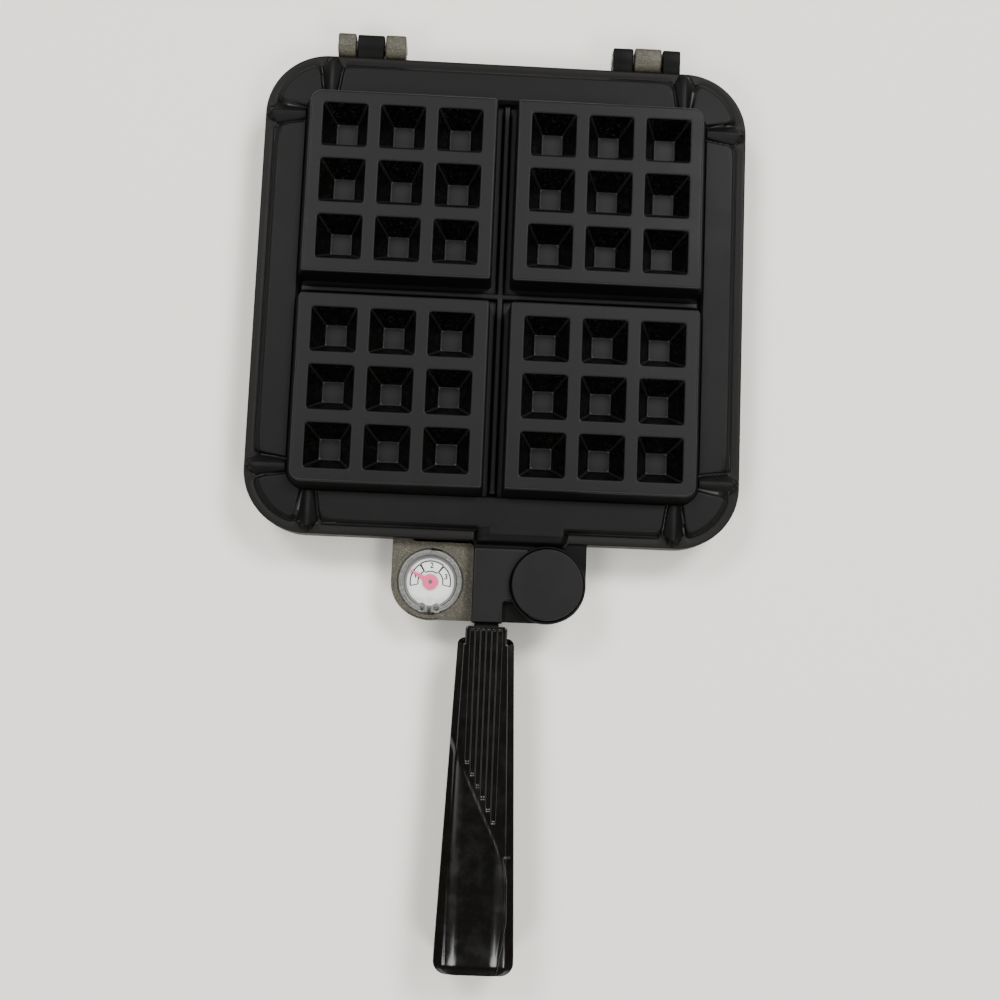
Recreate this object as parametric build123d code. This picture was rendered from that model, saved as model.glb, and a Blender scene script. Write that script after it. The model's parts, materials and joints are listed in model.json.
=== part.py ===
"""Stovetop waffle iron: two hinged cast plates with four lattice blocks each, a handle half
and a bimetal temperature gauge on each plate.

Each casting is drawn in its own plate frame: the parting plane is z = 0, the outside of the
casting is towards +z, the hinge is towards +y and x = y = 0 is the middle of the lattice.
The lower half is the upper half turned 180 degrees about y.  Lengths are in millimetres.
"""

import os
from math import atan, degrees, hypot, radians, tan

from build123d import *

# ---- driving dimensions -------------------------------------------------------------------
# lattice
PITCH = 25.4                # well to well, one inch
WELLS_PER_SIDE = 3          # wells along one edge of a block
FIRST_WELL = 20.7           # centre of the innermost well from the plate's centre line
WELL_MOUTH = 19.7
WELL_FLOOR = 9.7
WELL_DEPTH = 13.3
WELL_RADIUS = 1.2
WALL = 2.5                  # casting wall

# levels above the parting plane
BLOCK_TOP = 18.5
PAD_TOP = 9.5
RIM_TOP = 6.0
CHANNEL_FLOOR = 4.5
RIB_TOP = 7.5
SEAL_GAP = 0.12             # each sealing face stands this far off the parting plane

# plate outline
PLATE = 217.0
PLATE_RADIUS = 28.0
RIM_WIDTH = 4.0
RIM_EDGE = 1.2
PAD_EDGE = 2.0
BLOCK_BASE = 179.0          # square of the four blocks together at pad level
BLOCK_RADIUS = 7.5
BLOCK_DRAFT = 16.0
BLOCK_EDGE = 0.9
CHANNEL_MOUTH = 10.8
CHANNEL_BASE = 8.0
CHANNEL_EDGE = 0.7
RIB_WIDTH = 2.6

# leaf shaped ridges across the border, two at each corner
LEAF_LINE = 79.5            # centre line of a leaf from the plate's centre line
LEAF_TIP = 107.4
LEAF_WIDE_AT = 103.5
LEAF_WIDTH = 9.8
LEAF_ROOT_WIDTH = 5.3
LEAF_TOP = 10.3
LEAF_CREST = 7.5            # radius across the crest
LEAF_VALLEY = 0.9
LEAF_GROOVE = 0.4           # valley floor above the rim

# inside of the casting
CAVITY_TOP = 15.9
CAVITY_INNER = 7.2          # half width of the divider between cavities, at the parting plane
CAVITY_OUTER = 87.4         # cavity edge from the centre line, at the parting plane
CAVITY_DRAFT = 10.0
CAVITY_RADIUS = 6.0
PEG_CLEARANCE = 2.7         # peg tops stand this far off the parting plane
GUTTER_INNER = 92.5
GUTTER_OUTER = 101.5
GUTTER_TOP = 6.2
GUTTER_CENTRE = 80.5        # centre of its rounded corners from the centre line

# hinge
HINGE_Y = 115.2
KNUCKLE_RADIUS = 6.2
KNUCKLE_BACK = 4.7          # flat back of a knuckle behind the pin
KNUCKLE_OUT = 5.4           # knuckle height on its own casting's side
KNUCKLE_CORNER = 1.5
KNUCKLE_SINGLE = (57.0, 69.2)
KNUCKLE_PAIR = ((47.2, 56.4), (69.8, 77.9))
PIN_DIAMETER = 4.8
PIN_PLAY = 0.08              # radial
PIN_PROUD = 0.5
PIN_EDGE = 0.4

# neck, tang and ear
NECK_WIDTH = 13.5
NECK_END = 145.4            # distances towards the handle are given without their sign
NECK_TOP = 8.0
NECK_EDGE = 0.8
TANG_WIDTH = 10.5
TANG_TOP = 5.0
TANG_END = 202.0
EAR_REACH = 42.4
EAR_END = 143.3
EAR_TOP = 4.6
EAR_CORNER = 16.1
GAUGE_X = 25.3
GAUGE_Y = 126.7
HOUSING_RADIUS = 17.1
HOUSING_TOP = 11.4
HOUSING_EDGE = 1.0
DISC_RADIUS = 15.1
DISC_TOP = 12.3
DISC_EDGE = 0.6
WEB_END = 134.6             # the web from neck to housing stops here, above a small pocket
SHOULDER_REACH = 34.0       # raised pad beside the neck on the ear's side
SHOULDER_END = 110.0
FOOT_RADIUS = 3.5           # fillet where the plate turns into the neck

# gauge, levels counted from its open mouth into the well
WELL_BORE = 29.0
LINING_PLAY = 0.1           # radial room of the dial, the spacer and the lens
LEDGE = 5.8                 # the dial rests on this step
COIL_BORE = 25.6
COIL_BORE_DEPTH = 9.0
GROOVE_DEPTH = 0.6
SNAP_RING = (0.6, 1.6)
SNAP_RING_WIDTH = 2.4
SNAP_GAP = 2.5
SNAP_LUG_RADIUS = 2.1
SNAP_LUG_OUT = 11.8
SNAP_LUG_SIDE = 3.1
SNAP_HOLE = 1.2
LENS = (1.6, 3.1)
SPACER = (3.1, 5.3)
SPACER_WIDTH = 1.5
DIAL = (5.3, 5.8)
POINTER = (4.0, 4.5)
COIL = (6.3, 8.4)
COIL_TURNS = 4
COIL_OUTER = 10.5
COIL_STEP = 2.1
COIL_BAND = 0.6
ARBOR_RADIUS = 0.8
ARBOR_PLAY = 0.1            # radial, and above the floor of the bore
ARBOR_TIP = 3.7
POINTER_HUB = 3.4
POINTER_LENGTH = 10.0
POINTER_ROOT = 2.4
POINTER_TIP = 0.5
POINTER_REST = 28.0         # direction of the cold pointer, seen from outside the casting

# handle half
HANDLE_ROOT = 145.5
HANDLE_SHOULDER = 150.5
HANDLE_END = 290.0
HANDLE_GAP = 0.4            # inner face off the parting plane
ROOT_WIDTH = 23.7
END_WIDTH = 34.0
ROOT_TOP = 10.2
END_TOP = 14.0
HANDLE_CHAMFER = 2.8
HANDLE_CORNER = 6.0
NOSE_WIDTH = 18.0           # front end, as wide as the top face between its chamfers
NOSE_EDGE = 0.6
FLUTES = 6
FLUTE_PITCH = 2.39
FLUTE_RADIUS = 0.9
FLUTE_LIFT = 0.35           # centre of a flute above the top face
FLUTE_START = 147.6
SWEEP_START = (-9.2, 200.0)  # diagonal front edge of the raised palm pad
SWEEP_END = (10.9, 241.0)
SWEEP_BULGE = (13.2, 263.0)
SWEEP_CLOSE = (10.4, 286.0)
FLUTE_STOP = 3.5            # flutes end this far ahead of the pad
PAD_RISE = 1.0
SCREW_SPOTS = (163.0, 189.0)
SCREW_RADIUS = 2.0
SCREW_HEAD_RADIUS = 3.8
SCREW_HEAD = 2.2
SCREW_END = 8.4
SCREW_PLAY = 0.08           # radial and endwise room in the handle's blind holes
SLOT_WIDTH = 1.0
OVERLAP = 1.0               # joined solids run this far into each other

# ---- helpers ------------------------------------------------------------------------------
HALF_PLATE = PLATE / 2
WELL_SPOTS = [FIRST_WELL + n * PITCH for n in range(WELLS_PER_SIDE)]
LATTICE = [side * spot for side in (-1, 1) for spot in WELL_SPOTS]
HINGE_BACK = HINGE_Y + KNUCKLE_BACK
CENTRE_SHIFT = (HANDLE_END - HINGE_BACK) / 2


def slab(sketch, low, high):
    """The sketch as an upright prism from level low to level high."""
    return extrude(Pos(0, 0, low) * sketch, high - low)


def ring(outer, inner, low, high, x=0.0, y=0.0):
    """A flat round ring about (x, y)."""
    return slab(Pos(x, y) * (Circle(outer) - Circle(inner)), low, high)


def disc(radius, low, high, x=0.0, y=0.0):
    """A round plate or pin about (x, y)."""
    return slab(Pos(x, y) * Circle(radius), low, high)


def frustum(low_size, low, high_size, high, low_radius, high_radius):
    """A square pyramid stump with rounded corners, lofted between two levels."""
    return loft([
        Pos(0, 0, low) * RectangleRounded(low_size, low_size, low_radius),
        Pos(0, 0, high) * RectangleRounded(high_size, high_size, high_radius),
    ])


def along_x(profile, low, high):
    """A closed (y, z) profile carried along x from low to high."""
    return extrude(Plane.YZ.offset(low) * profile, high - low)


def at_lattice(solid):
    """One copy of the solid at every well."""
    return [Pos(x, y, 0) * solid for x in LATTICE for y in LATTICE]


# ---- casting ------------------------------------------------------------------------------
def border():
    """Flat rim and the raised pads inside it."""
    rim = slab(RectangleRounded(PLATE, PLATE, PLATE_RADIUS), SEAL_GAP, RIM_TOP)
    rim = fillet(rim.faces().sort_by(Axis.Z)[-1].edges(), RIM_EDGE)
    size = PLATE - 2 * RIM_WIDTH
    pads = slab(RectangleRounded(size, size, PLATE_RADIUS - RIM_WIDTH), RIM_TOP - OVERLAP,
                PAD_TOP)
    return rim + fillet(pads.faces().sort_by(Axis.Z)[-1].edges(), PAD_EDGE)


def leaf_outline(grow):
    """Outline of one leaf pointing to +y, grown sideways by the given amount."""
    half, root = LEAF_WIDTH / 2 + grow, LEAF_ROOT_WIDTH / 2 + grow
    start = BLOCK_BASE / 2 - BLOCK_EDGE
    bow = (half + root) / 2 + LEAF_VALLEY / 2
    middle = (start + LEAF_WIDE_AT) / 2
    edge = Line((-root, start), (root, start))
    edge += ThreePointArc((root, start), (bow, middle), (half, LEAF_WIDE_AT))
    edge += Line((half, LEAF_WIDE_AT), (0, LEAF_TIP + grow / 2))
    edge += Line((0, LEAF_TIP + grow / 2), (-half, LEAF_WIDE_AT))
    edge += ThreePointArc((-half, LEAF_WIDE_AT), (-bow, middle), (-root, start))
    return make_face(edge)


def at_corners(solid):
    """The solid on both sides of all four corners of the border."""
    return [Rot(0, 0, 90 * quarter) * Pos(side * LEAF_LINE, 0, 0) * solid
            for quarter in range(4) for side in (-1, 1)]


def leaf():
    """Ridge with a rounded crest, cut to the leaf outline."""
    crest = Pos(0, HALF_PLATE, LEAF_TOP - LEAF_CREST) * Rot(90, 0, 0) * Cylinder(LEAF_CREST, PLATE)
    return slab(leaf_outline(0), RIM_TOP - OVERLAP, LEAF_TOP) & crest


def blocks():
    """The four lattice blocks as one drafted square, before the channels part them."""
    base = Pos(0, 0, PAD_TOP) * RectangleRounded(BLOCK_BASE, BLOCK_BASE, BLOCK_RADIUS)
    top = extrude(base, BLOCK_TOP - PAD_TOP, taper=BLOCK_DRAFT)
    top = fillet(top.faces().sort_by(Axis.Z)[-1].edges(), BLOCK_EDGE)
    return top + slab(RectangleRounded(BLOCK_BASE, BLOCK_BASE, BLOCK_RADIUS), RIM_TOP, PAD_TOP)


def channel():
    """One channel between the blocks, along x, with its mouth eased."""
    mouth, base = CHANNEL_MOUTH / 2, CHANNEL_BASE / 2
    throat = mouth - CHANNEL_EDGE
    above = BLOCK_TOP + OVERLAP
    outline = Polyline(
        (-base, CHANNEL_FLOOR), (-throat, BLOCK_TOP - CHANNEL_EDGE), (-mouth, BLOCK_TOP),
        (-mouth, above), (mouth, above), (mouth, BLOCK_TOP),
        (throat, BLOCK_TOP - CHANNEL_EDGE), (base, CHANNEL_FLOOR), close=True)
    return along_x(make_face(outline), -BLOCK_BASE / 2, BLOCK_BASE / 2)


def cavity():
    """Batter cavity of the quadrant at +x +y, narrowing outwards with its draft."""
    size = CAVITY_OUTER - CAVITY_INNER
    middle = (CAVITY_OUTER + CAVITY_INNER) / 2
    shrink = 2 * CAVITY_TOP * tan(radians(CAVITY_DRAFT))
    stump = frustum(size, 0, size - shrink, CAVITY_TOP, CAVITY_RADIUS, CAVITY_RADIUS / 2)
    return Pos(middle, middle, 0) * stump


def peg():
    """Peg that stands into the cavity round one well: the well's shape plus the wall."""
    slope = (WELL_MOUTH - WELL_FLOOR) / 2 / WELL_DEPTH
    side = WALL * hypot(1, slope)
    over = CAVITY_TOP + OVERLAP / 2
    tip, root = (WELL_MOUTH + 2 * (side - slope * (BLOCK_TOP - level))
                 for level in (PEG_CLEARANCE, over))
    return frustum(tip, PEG_CLEARANCE, root, over, 2 * WELL_RADIUS, 2 * WELL_RADIUS)


def well():
    """Open well in the top of a block."""
    over = OVERLAP / 2
    slope = (WELL_MOUTH - WELL_FLOOR) / WELL_DEPTH
    return frustum(WELL_FLOOR, BLOCK_TOP - WELL_DEPTH, WELL_MOUTH + slope * over,
                   BLOCK_TOP + over, WELL_RADIUS, WELL_RADIUS)


def gutter():
    """Overflow gutter inside the border pads."""
    outer, inner = (RectangleRounded(2 * edge, 2 * edge, edge - GUTTER_CENTRE)
                    for edge in (GUTTER_OUTER, GUTTER_INNER))
    return slab(outer - inner, 0, GUTTER_TOP)


def knuckle(low, high):
    """One hinge knuckle from x = low to x = high: round towards the plates, square behind."""
    back = Pos(KNUCKLE_BACK / 2, (KNUCKLE_OUT - KNUCKLE_RADIUS) / 2) * Rectangle(
        KNUCKLE_BACK, KNUCKLE_OUT + KNUCKLE_RADIUS)
    back = fillet(back.vertices().group_by(Axis.X)[-1], KNUCKLE_CORNER)
    arm_length = HINGE_Y - HALF_PLATE + OVERLAP
    arm = Pos(-arm_length / 2, (KNUCKLE_OUT + SEAL_GAP) / 2) * Rectangle(
        arm_length, KNUCKLE_OUT - SEAL_GAP)
    reach = 2 * KNUCKLE_RADIUS
    round_side = Circle(KNUCKLE_RADIUS) & Pos(-reach / 2, KNUCKLE_OUT - reach / 2) * Rectangle(
        reach, reach)
    return along_x(Pos(HINGE_Y, 0) * (round_side + back + arm), low, high)


def hinge_bore(low, high, diameter):
    """Bore for the hinge pin."""
    return along_x(Pos(HINGE_Y, 0) * Circle(diameter / 2), low, high)


def neck():
    """Neck towards the handle, with the tang that the handle sits on."""
    start = HALF_PLATE - 2 * OVERLAP
    bar = slab(Pos(0, -(start + NECK_END) / 2) * Rectangle(NECK_WIDTH, NECK_END - start),
               SEAL_GAP, NECK_TOP)
    bar = chamfer(bar.edges().filter_by(Axis.Y).group_by(Axis.Z)[-1], NECK_EDGE)
    tang = slab(Pos(0, -(NECK_END + TANG_END) / 2) * Rectangle(TANG_WIDTH, TANG_END - NECK_END),
                SEAL_GAP, TANG_TOP)
    return bar + tang


def ear():
    """Ear beside the neck with the closed housing of the gauge well."""
    start = HALF_PLATE - 2 * OVERLAP
    outline = Pos(EAR_REACH / 2, -(start + EAR_END) / 2) * Rectangle(EAR_REACH, EAR_END - start)
    plate = slab(outline, SEAL_GAP, EAR_TOP)
    plate = fillet(plate.edges().filter_by(Axis.Z).sort_by(lambda e: e.center().Y - e.center().X)[0],
                   EAR_CORNER)
    housing = disc(HOUSING_RADIUS, SEAL_GAP, HOUSING_TOP, GAUGE_X, -GAUGE_Y)
    housing = fillet(housing.faces().sort_by(Axis.Z)[-1].edges(), HOUSING_EDGE)
    cap = disc(DISC_RADIUS, HOUSING_TOP - OVERLAP, DISC_TOP, GAUGE_X, -GAUGE_Y)
    cap = fillet(cap.faces().sort_by(Axis.Z)[-1].edges(), DISC_EDGE)
    web = slab(Pos(GAUGE_X / 2, -(start + WEB_END) / 2) * Rectangle(GAUGE_X, WEB_END - start),
               SEAL_GAP, NECK_TOP)
    return plate + housing + cap + web


def shoulder():
    """Raised pad across the border where the neck and the ear leave the plate."""
    low = BLOCK_BASE / 2 + OVERLAP
    middle = (SHOULDER_REACH - NECK_WIDTH / 2) / 2
    width = SHOULDER_REACH + NECK_WIDTH / 2
    pad = slab(Pos(middle, -(low + SHOULDER_END) / 2) * Rectangle(width, SHOULDER_END - low),
               SEAL_GAP, PAD_TOP)
    return fillet(pad.faces().sort_by(Axis.Z)[-1].edges(), PAD_EDGE)


def foot():
    """Fillet between the plate's edge and the side of the neck away from the ear."""
    corner = Pos(-(NECK_WIDTH + FOOT_RADIUS) / 2, -HALF_PLATE - FOOT_RADIUS / 2)
    square = corner * Rectangle(FOOT_RADIUS, FOOT_RADIUS)
    square += Pos(-NECK_WIDTH / 2, -HALF_PLATE) * Rectangle(2 * OVERLAP, 2 * OVERLAP)
    hollow = Pos(-NECK_WIDTH / 2 - FOOT_RADIUS, -HALF_PLATE - FOOT_RADIUS) * Circle(FOOT_RADIUS)
    return slab(square - hollow, SEAL_GAP, RIM_TOP - RIM_EDGE)


def gauge_well():
    """Stepped bore of the gauge with the groove of its snap ring, open at the parting plane."""
    bore = disc(WELL_BORE / 2, 0, LEDGE, GAUGE_X, -GAUGE_Y)
    bore += disc(COIL_BORE / 2, 0, COIL_BORE_DEPTH, GAUGE_X, -GAUGE_Y)
    groove = disc(WELL_BORE / 2 + GROOVE_DEPTH, *SNAP_RING, GAUGE_X, -GAUGE_Y)
    return bore + groove


def screw_holes():
    """Countersunk clearance holes through the tang."""
    holes = []
    for spot in SCREW_SPOTS:
        head = loft([Pos(0, -spot, SEAL_GAP) * Circle(SCREW_HEAD_RADIUS),
                     Pos(0, -spot, SCREW_HEAD) * Circle(SCREW_RADIUS)])
        holes += [head, disc(SCREW_RADIUS, SCREW_HEAD - OVERLAP / 2, TANG_TOP, 0, -spot)]
    return holes


def casting():
    """One plate with its lattice, border, knuckles, neck, tang and ear."""
    valleys = slab(leaf_outline(LEAF_VALLEY), RIM_TOP + LEAF_GROOVE, PAD_TOP + OVERLAP)
    body = border() - at_corners(valleys)
    body += at_corners(leaf())
    body += blocks()
    body += [shoulder(), foot(), neck(), ear()]
    body += [knuckle(-KNUCKLE_SINGLE[1], -KNUCKLE_SINGLE[0])]
    body += [knuckle(*span) for span in KNUCKLE_PAIR]
    body -= [channel(), Rot(0, 0, 90) * channel()]
    ribs = slab(Rectangle(BLOCK_BASE, RIB_WIDTH) + Rectangle(RIB_WIDTH, BLOCK_BASE),
                CHANNEL_FLOOR - OVERLAP / 2, RIB_TOP)
    body += ribs
    cavities = [Rot(0, 0, 90 * quarter) * cavity() for quarter in range(4)]
    body -= cavities
    body += at_lattice(peg())
    body -= at_lattice(well())
    body -= [gutter(), gauge_well()]
    body -= screw_holes()
    loose = PIN_DIAMETER + 2 * PIN_PLAY
    body -= hinge_bore(-KNUCKLE_SINGLE[1] - OVERLAP, -KNUCKLE_SINGLE[0] + OVERLAP, loose)
    body -= hinge_bore(KNUCKLE_PAIR[0][0] - OVERLAP, KNUCKLE_PAIR[1][1] + OVERLAP, PIN_DIAMETER)
    return body


def hinge_pin():
    """Pin held by the pair of knuckles at +x."""
    pin = hinge_bore(KNUCKLE_PAIR[0][0] - PIN_PROUD, KNUCKLE_PAIR[1][1] + PIN_PROUD, PIN_DIAMETER)
    return chamfer(pin.edges().filter_by(GeomType.CIRCLE), PIN_EDGE)


# ---- gauge --------------------------------------------------------------------------------
def at_gauge(solid):
    """Moves a gauge piece from the z axis to the gauge well."""
    return Pos(GAUGE_X, -GAUGE_Y, 0) * solid


def snap_ring():
    """Open ring sprung into the groove, with two lugs for the pliers."""
    outer = WELL_BORE / 2 + GROOVE_DEPTH
    sides = [Pos(side * SNAP_LUG_SIDE, -SNAP_LUG_OUT) for side in (-1, 1)]
    band = Circle(outer) - Circle(WELL_BORE / 2 - SNAP_RING_WIDTH)
    band += [side * Circle(SNAP_LUG_RADIUS) for side in sides]
    band -= Pos(0, -outer) * Rectangle(SNAP_GAP, outer)
    band -= [side * Circle(SNAP_HOLE) for side in sides]
    return slab(band, *SNAP_RING)


def coil():
    """Bimetal strip wound as half circles about two centres, anchored in the well's wall."""
    reach = 3 * COIL_OUTER
    strip = Pos((COIL_OUTER + COIL_BORE / 2) / 2 - COIL_BAND / 2, COIL_BAND / 2) * Rectangle(
        COIL_BORE / 2 - COIL_OUTER + COIL_BAND, COIL_BAND)
    for half in range(2 * COIL_TURNS):
        radius = COIL_OUTER - half * COIL_STEP / 2
        side = 1 if half % 2 == 0 else -1
        band = Pos(-COIL_STEP / 2 * (half % 2), 0) * (Circle(radius) - Circle(radius - COIL_BAND))
        strip += band & (Pos(0, side * reach / 2) * Rectangle(reach, reach))
    end = COIL_OUTER - COIL_TURNS * COIL_STEP
    start = ARBOR_RADIUS + ARBOR_PLAY
    strip += Pos((start + end) / 2, -COIL_BAND / 2) * Rectangle(end - start, COIL_BAND)
    return slab(strip, *COIL)


def pointer():
    """Round hub and tapered blade, turned to the cold end of the scale."""
    root, tip = POINTER_ROOT / 2, POINTER_TIP / 2
    blade = make_face(Polyline((0, -root), (POINTER_LENGTH, -tip), (POINTER_LENGTH, tip),
                               (0, root), close=True))
    flat = slab(blade + Circle(POINTER_HUB) - Circle(ARBOR_RADIUS), *POINTER)
    return Rot(0, 0, POINTER_REST) * flat


def gauge_pieces():
    """The pieces of one gauge by name, in its plate's frame."""
    lining = WELL_BORE / 2 - LINING_PLAY
    pieces = {
        "dial": ring(lining, ARBOR_RADIUS + ARBOR_PLAY, *DIAL),
        "bimetal_coil": coil(),
        "arbor": disc(ARBOR_RADIUS, ARBOR_TIP, COIL_BORE_DEPTH - ARBOR_PLAY),
        "pointer": pointer(),
        "spacer_ring": ring(lining, lining - SPACER_WIDTH, *SPACER),
        "lens": disc(lining, *LENS),
        "snap_ring": snap_ring(),
    }
    return {name: at_gauge(piece) for name, piece in pieces.items()}


# ---- handle half --------------------------------------------------------------------------
def handle_plan():
    """Plan of a handle half behind its nose, wider towards its end."""
    root, end = ROOT_WIDTH / 2, END_WIDTH / 2
    outline = make_face(Polyline((-root, -HANDLE_SHOULDER), (root, -HANDLE_SHOULDER),
                                 (end, -HANDLE_END), (-end, -HANDLE_END), close=True))
    return fillet(outline.vertices().group_by(Axis.Y)[0], HANDLE_CORNER)


def handle_side(rise):
    """The wedge between the flat inner face and the sloping top, across the whole handle."""
    side = make_face(Polyline(
        (-HANDLE_ROOT, HANDLE_GAP), (-HANDLE_END - OVERLAP, HANDLE_GAP),
        (-HANDLE_END - OVERLAP, END_TOP + rise), (-HANDLE_ROOT, ROOT_TOP + rise), close=True))
    return along_x(side, -END_WIDTH, END_WIDTH)


def handle_wedge(rise):
    """Handle half with its top face lifted by rise and its edges chamfered."""
    wedge = slab(handle_plan(), HANDLE_GAP, 2 * END_TOP) & handle_side(rise)
    return chamfer(wedge.faces().sort_by(Axis.Z)[-1].edges(), HANDLE_CHAMFER)


def handle_nose():
    """Front end that carries the middle of the top face past the shoulders."""
    run = HANDLE_SHOULDER + HANDLE_CHAMFER + OVERLAP - HANDLE_ROOT
    plan = Pos(0, -HANDLE_ROOT - run / 2) * Rectangle(NOSE_WIDTH, run)
    nose = slab(plan, HANDLE_GAP, END_TOP) & handle_side(0)
    front = nose.faces().sort_by(Axis.Y)[-1]
    return chamfer(front.edges().sort_by(Axis.Z)[-1], NOSE_EDGE)


def palm_pad_outline():
    """Plan of the raised palm pad: a diagonal front edge and a bowed right edge."""
    far = HANDLE_END + OVERLAP
    start, end = SWEEP_START, SWEEP_END
    slope = (end[1] - start[1]) / (end[0] - start[0])
    left = (-END_WIDTH, start[1] + slope * (-END_WIDTH - start[0]))
    edge = Line((left[0], -left[1]), (end[0], -end[1]))
    edge += ThreePointArc((end[0], -end[1]), (SWEEP_BULGE[0], -SWEEP_BULGE[1]),
                          (SWEEP_CLOSE[0], -SWEEP_CLOSE[1]))
    edge += Polyline((SWEEP_CLOSE[0], -SWEEP_CLOSE[1]), (SWEEP_CLOSE[0], -far),
                     (-END_WIDTH, -far), (left[0], -left[1]))
    return make_face(edge)


def flutes():
    """Round bottomed flutes along the top face, stopping at the palm pad."""
    slope = (END_TOP - ROOT_TOP) / (HANDLE_END - HANDLE_ROOT)
    sweep = (SWEEP_END[1] - SWEEP_START[1]) / (SWEEP_END[0] - SWEEP_START[0])
    cuts = []
    for number in range(FLUTES):
        x = (number - (FLUTES - 1) / 2) * FLUTE_PITCH
        stop = SWEEP_START[1] + sweep * (x - SWEEP_START[0]) - FLUTE_STOP
        level = ROOT_TOP + slope * (FLUTE_START - HANDLE_ROOT) + FLUTE_LIFT
        run = hypot(stop - FLUTE_START, slope * (stop - FLUTE_START))
        tilt = Rot(90 - degrees(atan(slope)), 0, 0)
        start = Pos(x, -FLUTE_START, level)
        rod = Cylinder(FLUTE_RADIUS, run, align=(Align.CENTER, Align.CENTER, Align.MIN))
        cuts += [start * tilt * rod, start * Sphere(FLUTE_RADIUS)]
    return cuts


def handle():
    """Moulded handle half with its palm pad, flutes, tang slot and screw holes."""
    pad = handle_wedge(PAD_RISE) & slab(palm_pad_outline(), HANDLE_GAP, 2 * END_TOP)
    body = handle_wedge(0) + handle_nose() + pad
    body -= flutes()
    body -= slab(Pos(0, -(HANDLE_ROOT + TANG_END) / 2) * Rectangle(
        TANG_WIDTH, TANG_END - HANDLE_ROOT), 0, TANG_TOP)
    body -= [disc(SCREW_RADIUS + SCREW_PLAY, TANG_TOP - OVERLAP, SCREW_END + SCREW_PLAY, 0, -spot)
             for spot in SCREW_SPOTS]
    return body


def handle_screws():
    """Countersunk slotted screws, one solid each."""
    screws = []
    for spot in SCREW_SPOTS:
        head = loft([Pos(0, -spot, SEAL_GAP) * Circle(SCREW_HEAD_RADIUS),
                     Pos(0, -spot, SCREW_HEAD) * Circle(SCREW_RADIUS)])
        screw = head + disc(SCREW_RADIUS, SCREW_HEAD, SCREW_END, 0, -spot)
        slot = Pos(0, -spot) * Rectangle(2 * SCREW_HEAD_RADIUS, SLOT_WIDTH)
        screws.append(screw - slab(slot, 0, SCREW_HEAD / 2))
    return screws


# ---- assembly -----------------------------------------------------------------------------
def half_pieces():
    """The pieces of one half by name, in its plate's frame."""
    pieces = {
        "plate": casting(),
        "handle": handle(),
        "handle_screws": Compound(children=[*handle_screws()]),
    }
    return pieces | gauge_pieces()


def main():
    """Places both halves and writes one STEP file per piece."""
    to_origin = Pos(0, CENTRE_SHIFT, BLOCK_TOP)
    turned = to_origin * Rot(0, 180, 0)
    nodes = {}
    for name, piece in half_pieces().items():
        nodes[f"upper_{name}"] = to_origin * piece
        nodes[f"lower_{name}"] = turned * piece
    pin = hinge_pin()
    nodes["right_hinge_pin"] = to_origin * pin
    nodes["left_hinge_pin"] = turned * pin
    os.makedirs("parts", exist_ok=True)
    for name, solid in nodes.items():
        export_step(solid, f"parts/{name}.step")
        print(name, solid.bounding_box())


if __name__ == "__main__":
    main()
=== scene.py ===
"""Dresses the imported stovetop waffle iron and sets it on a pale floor.

Sizes are millimetres in a plate's own frame: the parting plane is z = 0, the outside of the
casting is towards +z, the hinge towards +y, and x = y = 0 is the middle of the lattice.  Half
turns that frame into the row's metres.
"""

import json
import logging
import math
from dataclasses import dataclass, field
from enum import Enum
from typing import Any, Callable, Sequence, Union

import bpy
import numpy as np
from mathutils import Matrix, Vector


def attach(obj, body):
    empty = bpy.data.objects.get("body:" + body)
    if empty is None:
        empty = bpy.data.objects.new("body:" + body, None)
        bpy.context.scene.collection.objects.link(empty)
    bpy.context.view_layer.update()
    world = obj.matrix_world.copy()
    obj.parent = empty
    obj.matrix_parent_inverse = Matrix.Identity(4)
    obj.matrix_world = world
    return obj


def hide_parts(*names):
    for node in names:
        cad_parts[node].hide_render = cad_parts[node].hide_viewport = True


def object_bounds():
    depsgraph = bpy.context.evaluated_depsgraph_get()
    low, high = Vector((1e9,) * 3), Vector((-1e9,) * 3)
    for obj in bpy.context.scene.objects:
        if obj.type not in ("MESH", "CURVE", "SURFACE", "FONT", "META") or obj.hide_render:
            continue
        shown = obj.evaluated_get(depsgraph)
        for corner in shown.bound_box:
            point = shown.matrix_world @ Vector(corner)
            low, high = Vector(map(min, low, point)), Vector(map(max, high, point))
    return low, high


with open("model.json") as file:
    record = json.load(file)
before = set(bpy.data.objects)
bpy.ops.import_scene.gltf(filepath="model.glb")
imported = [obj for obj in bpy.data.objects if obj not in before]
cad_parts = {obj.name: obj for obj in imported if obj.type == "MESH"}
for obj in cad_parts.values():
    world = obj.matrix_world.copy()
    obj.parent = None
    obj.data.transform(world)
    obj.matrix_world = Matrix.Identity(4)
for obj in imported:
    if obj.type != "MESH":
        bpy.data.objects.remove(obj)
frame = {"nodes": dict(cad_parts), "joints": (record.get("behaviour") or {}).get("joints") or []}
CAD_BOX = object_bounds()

Array = np.ndarray
Colour = tuple[float, float, float]
log = logging.getLogger("waffle_iron")

MM = 0.001
# Points in one cell of this many to the millimetre are joined; the shift, in cells, keeps
# round sizes off the cells' edges.
JOIN_CELLS = 2000
JOIN_SHIFT = 0.137
HINGE_Y = 115.2
HINGE_PLACE = next(joint for joint in frame["joints"] if joint["name"] == "plate_hinge")["pos_m"]
PARTING_LEVEL = HINGE_PLACE[2] / MM


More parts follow.
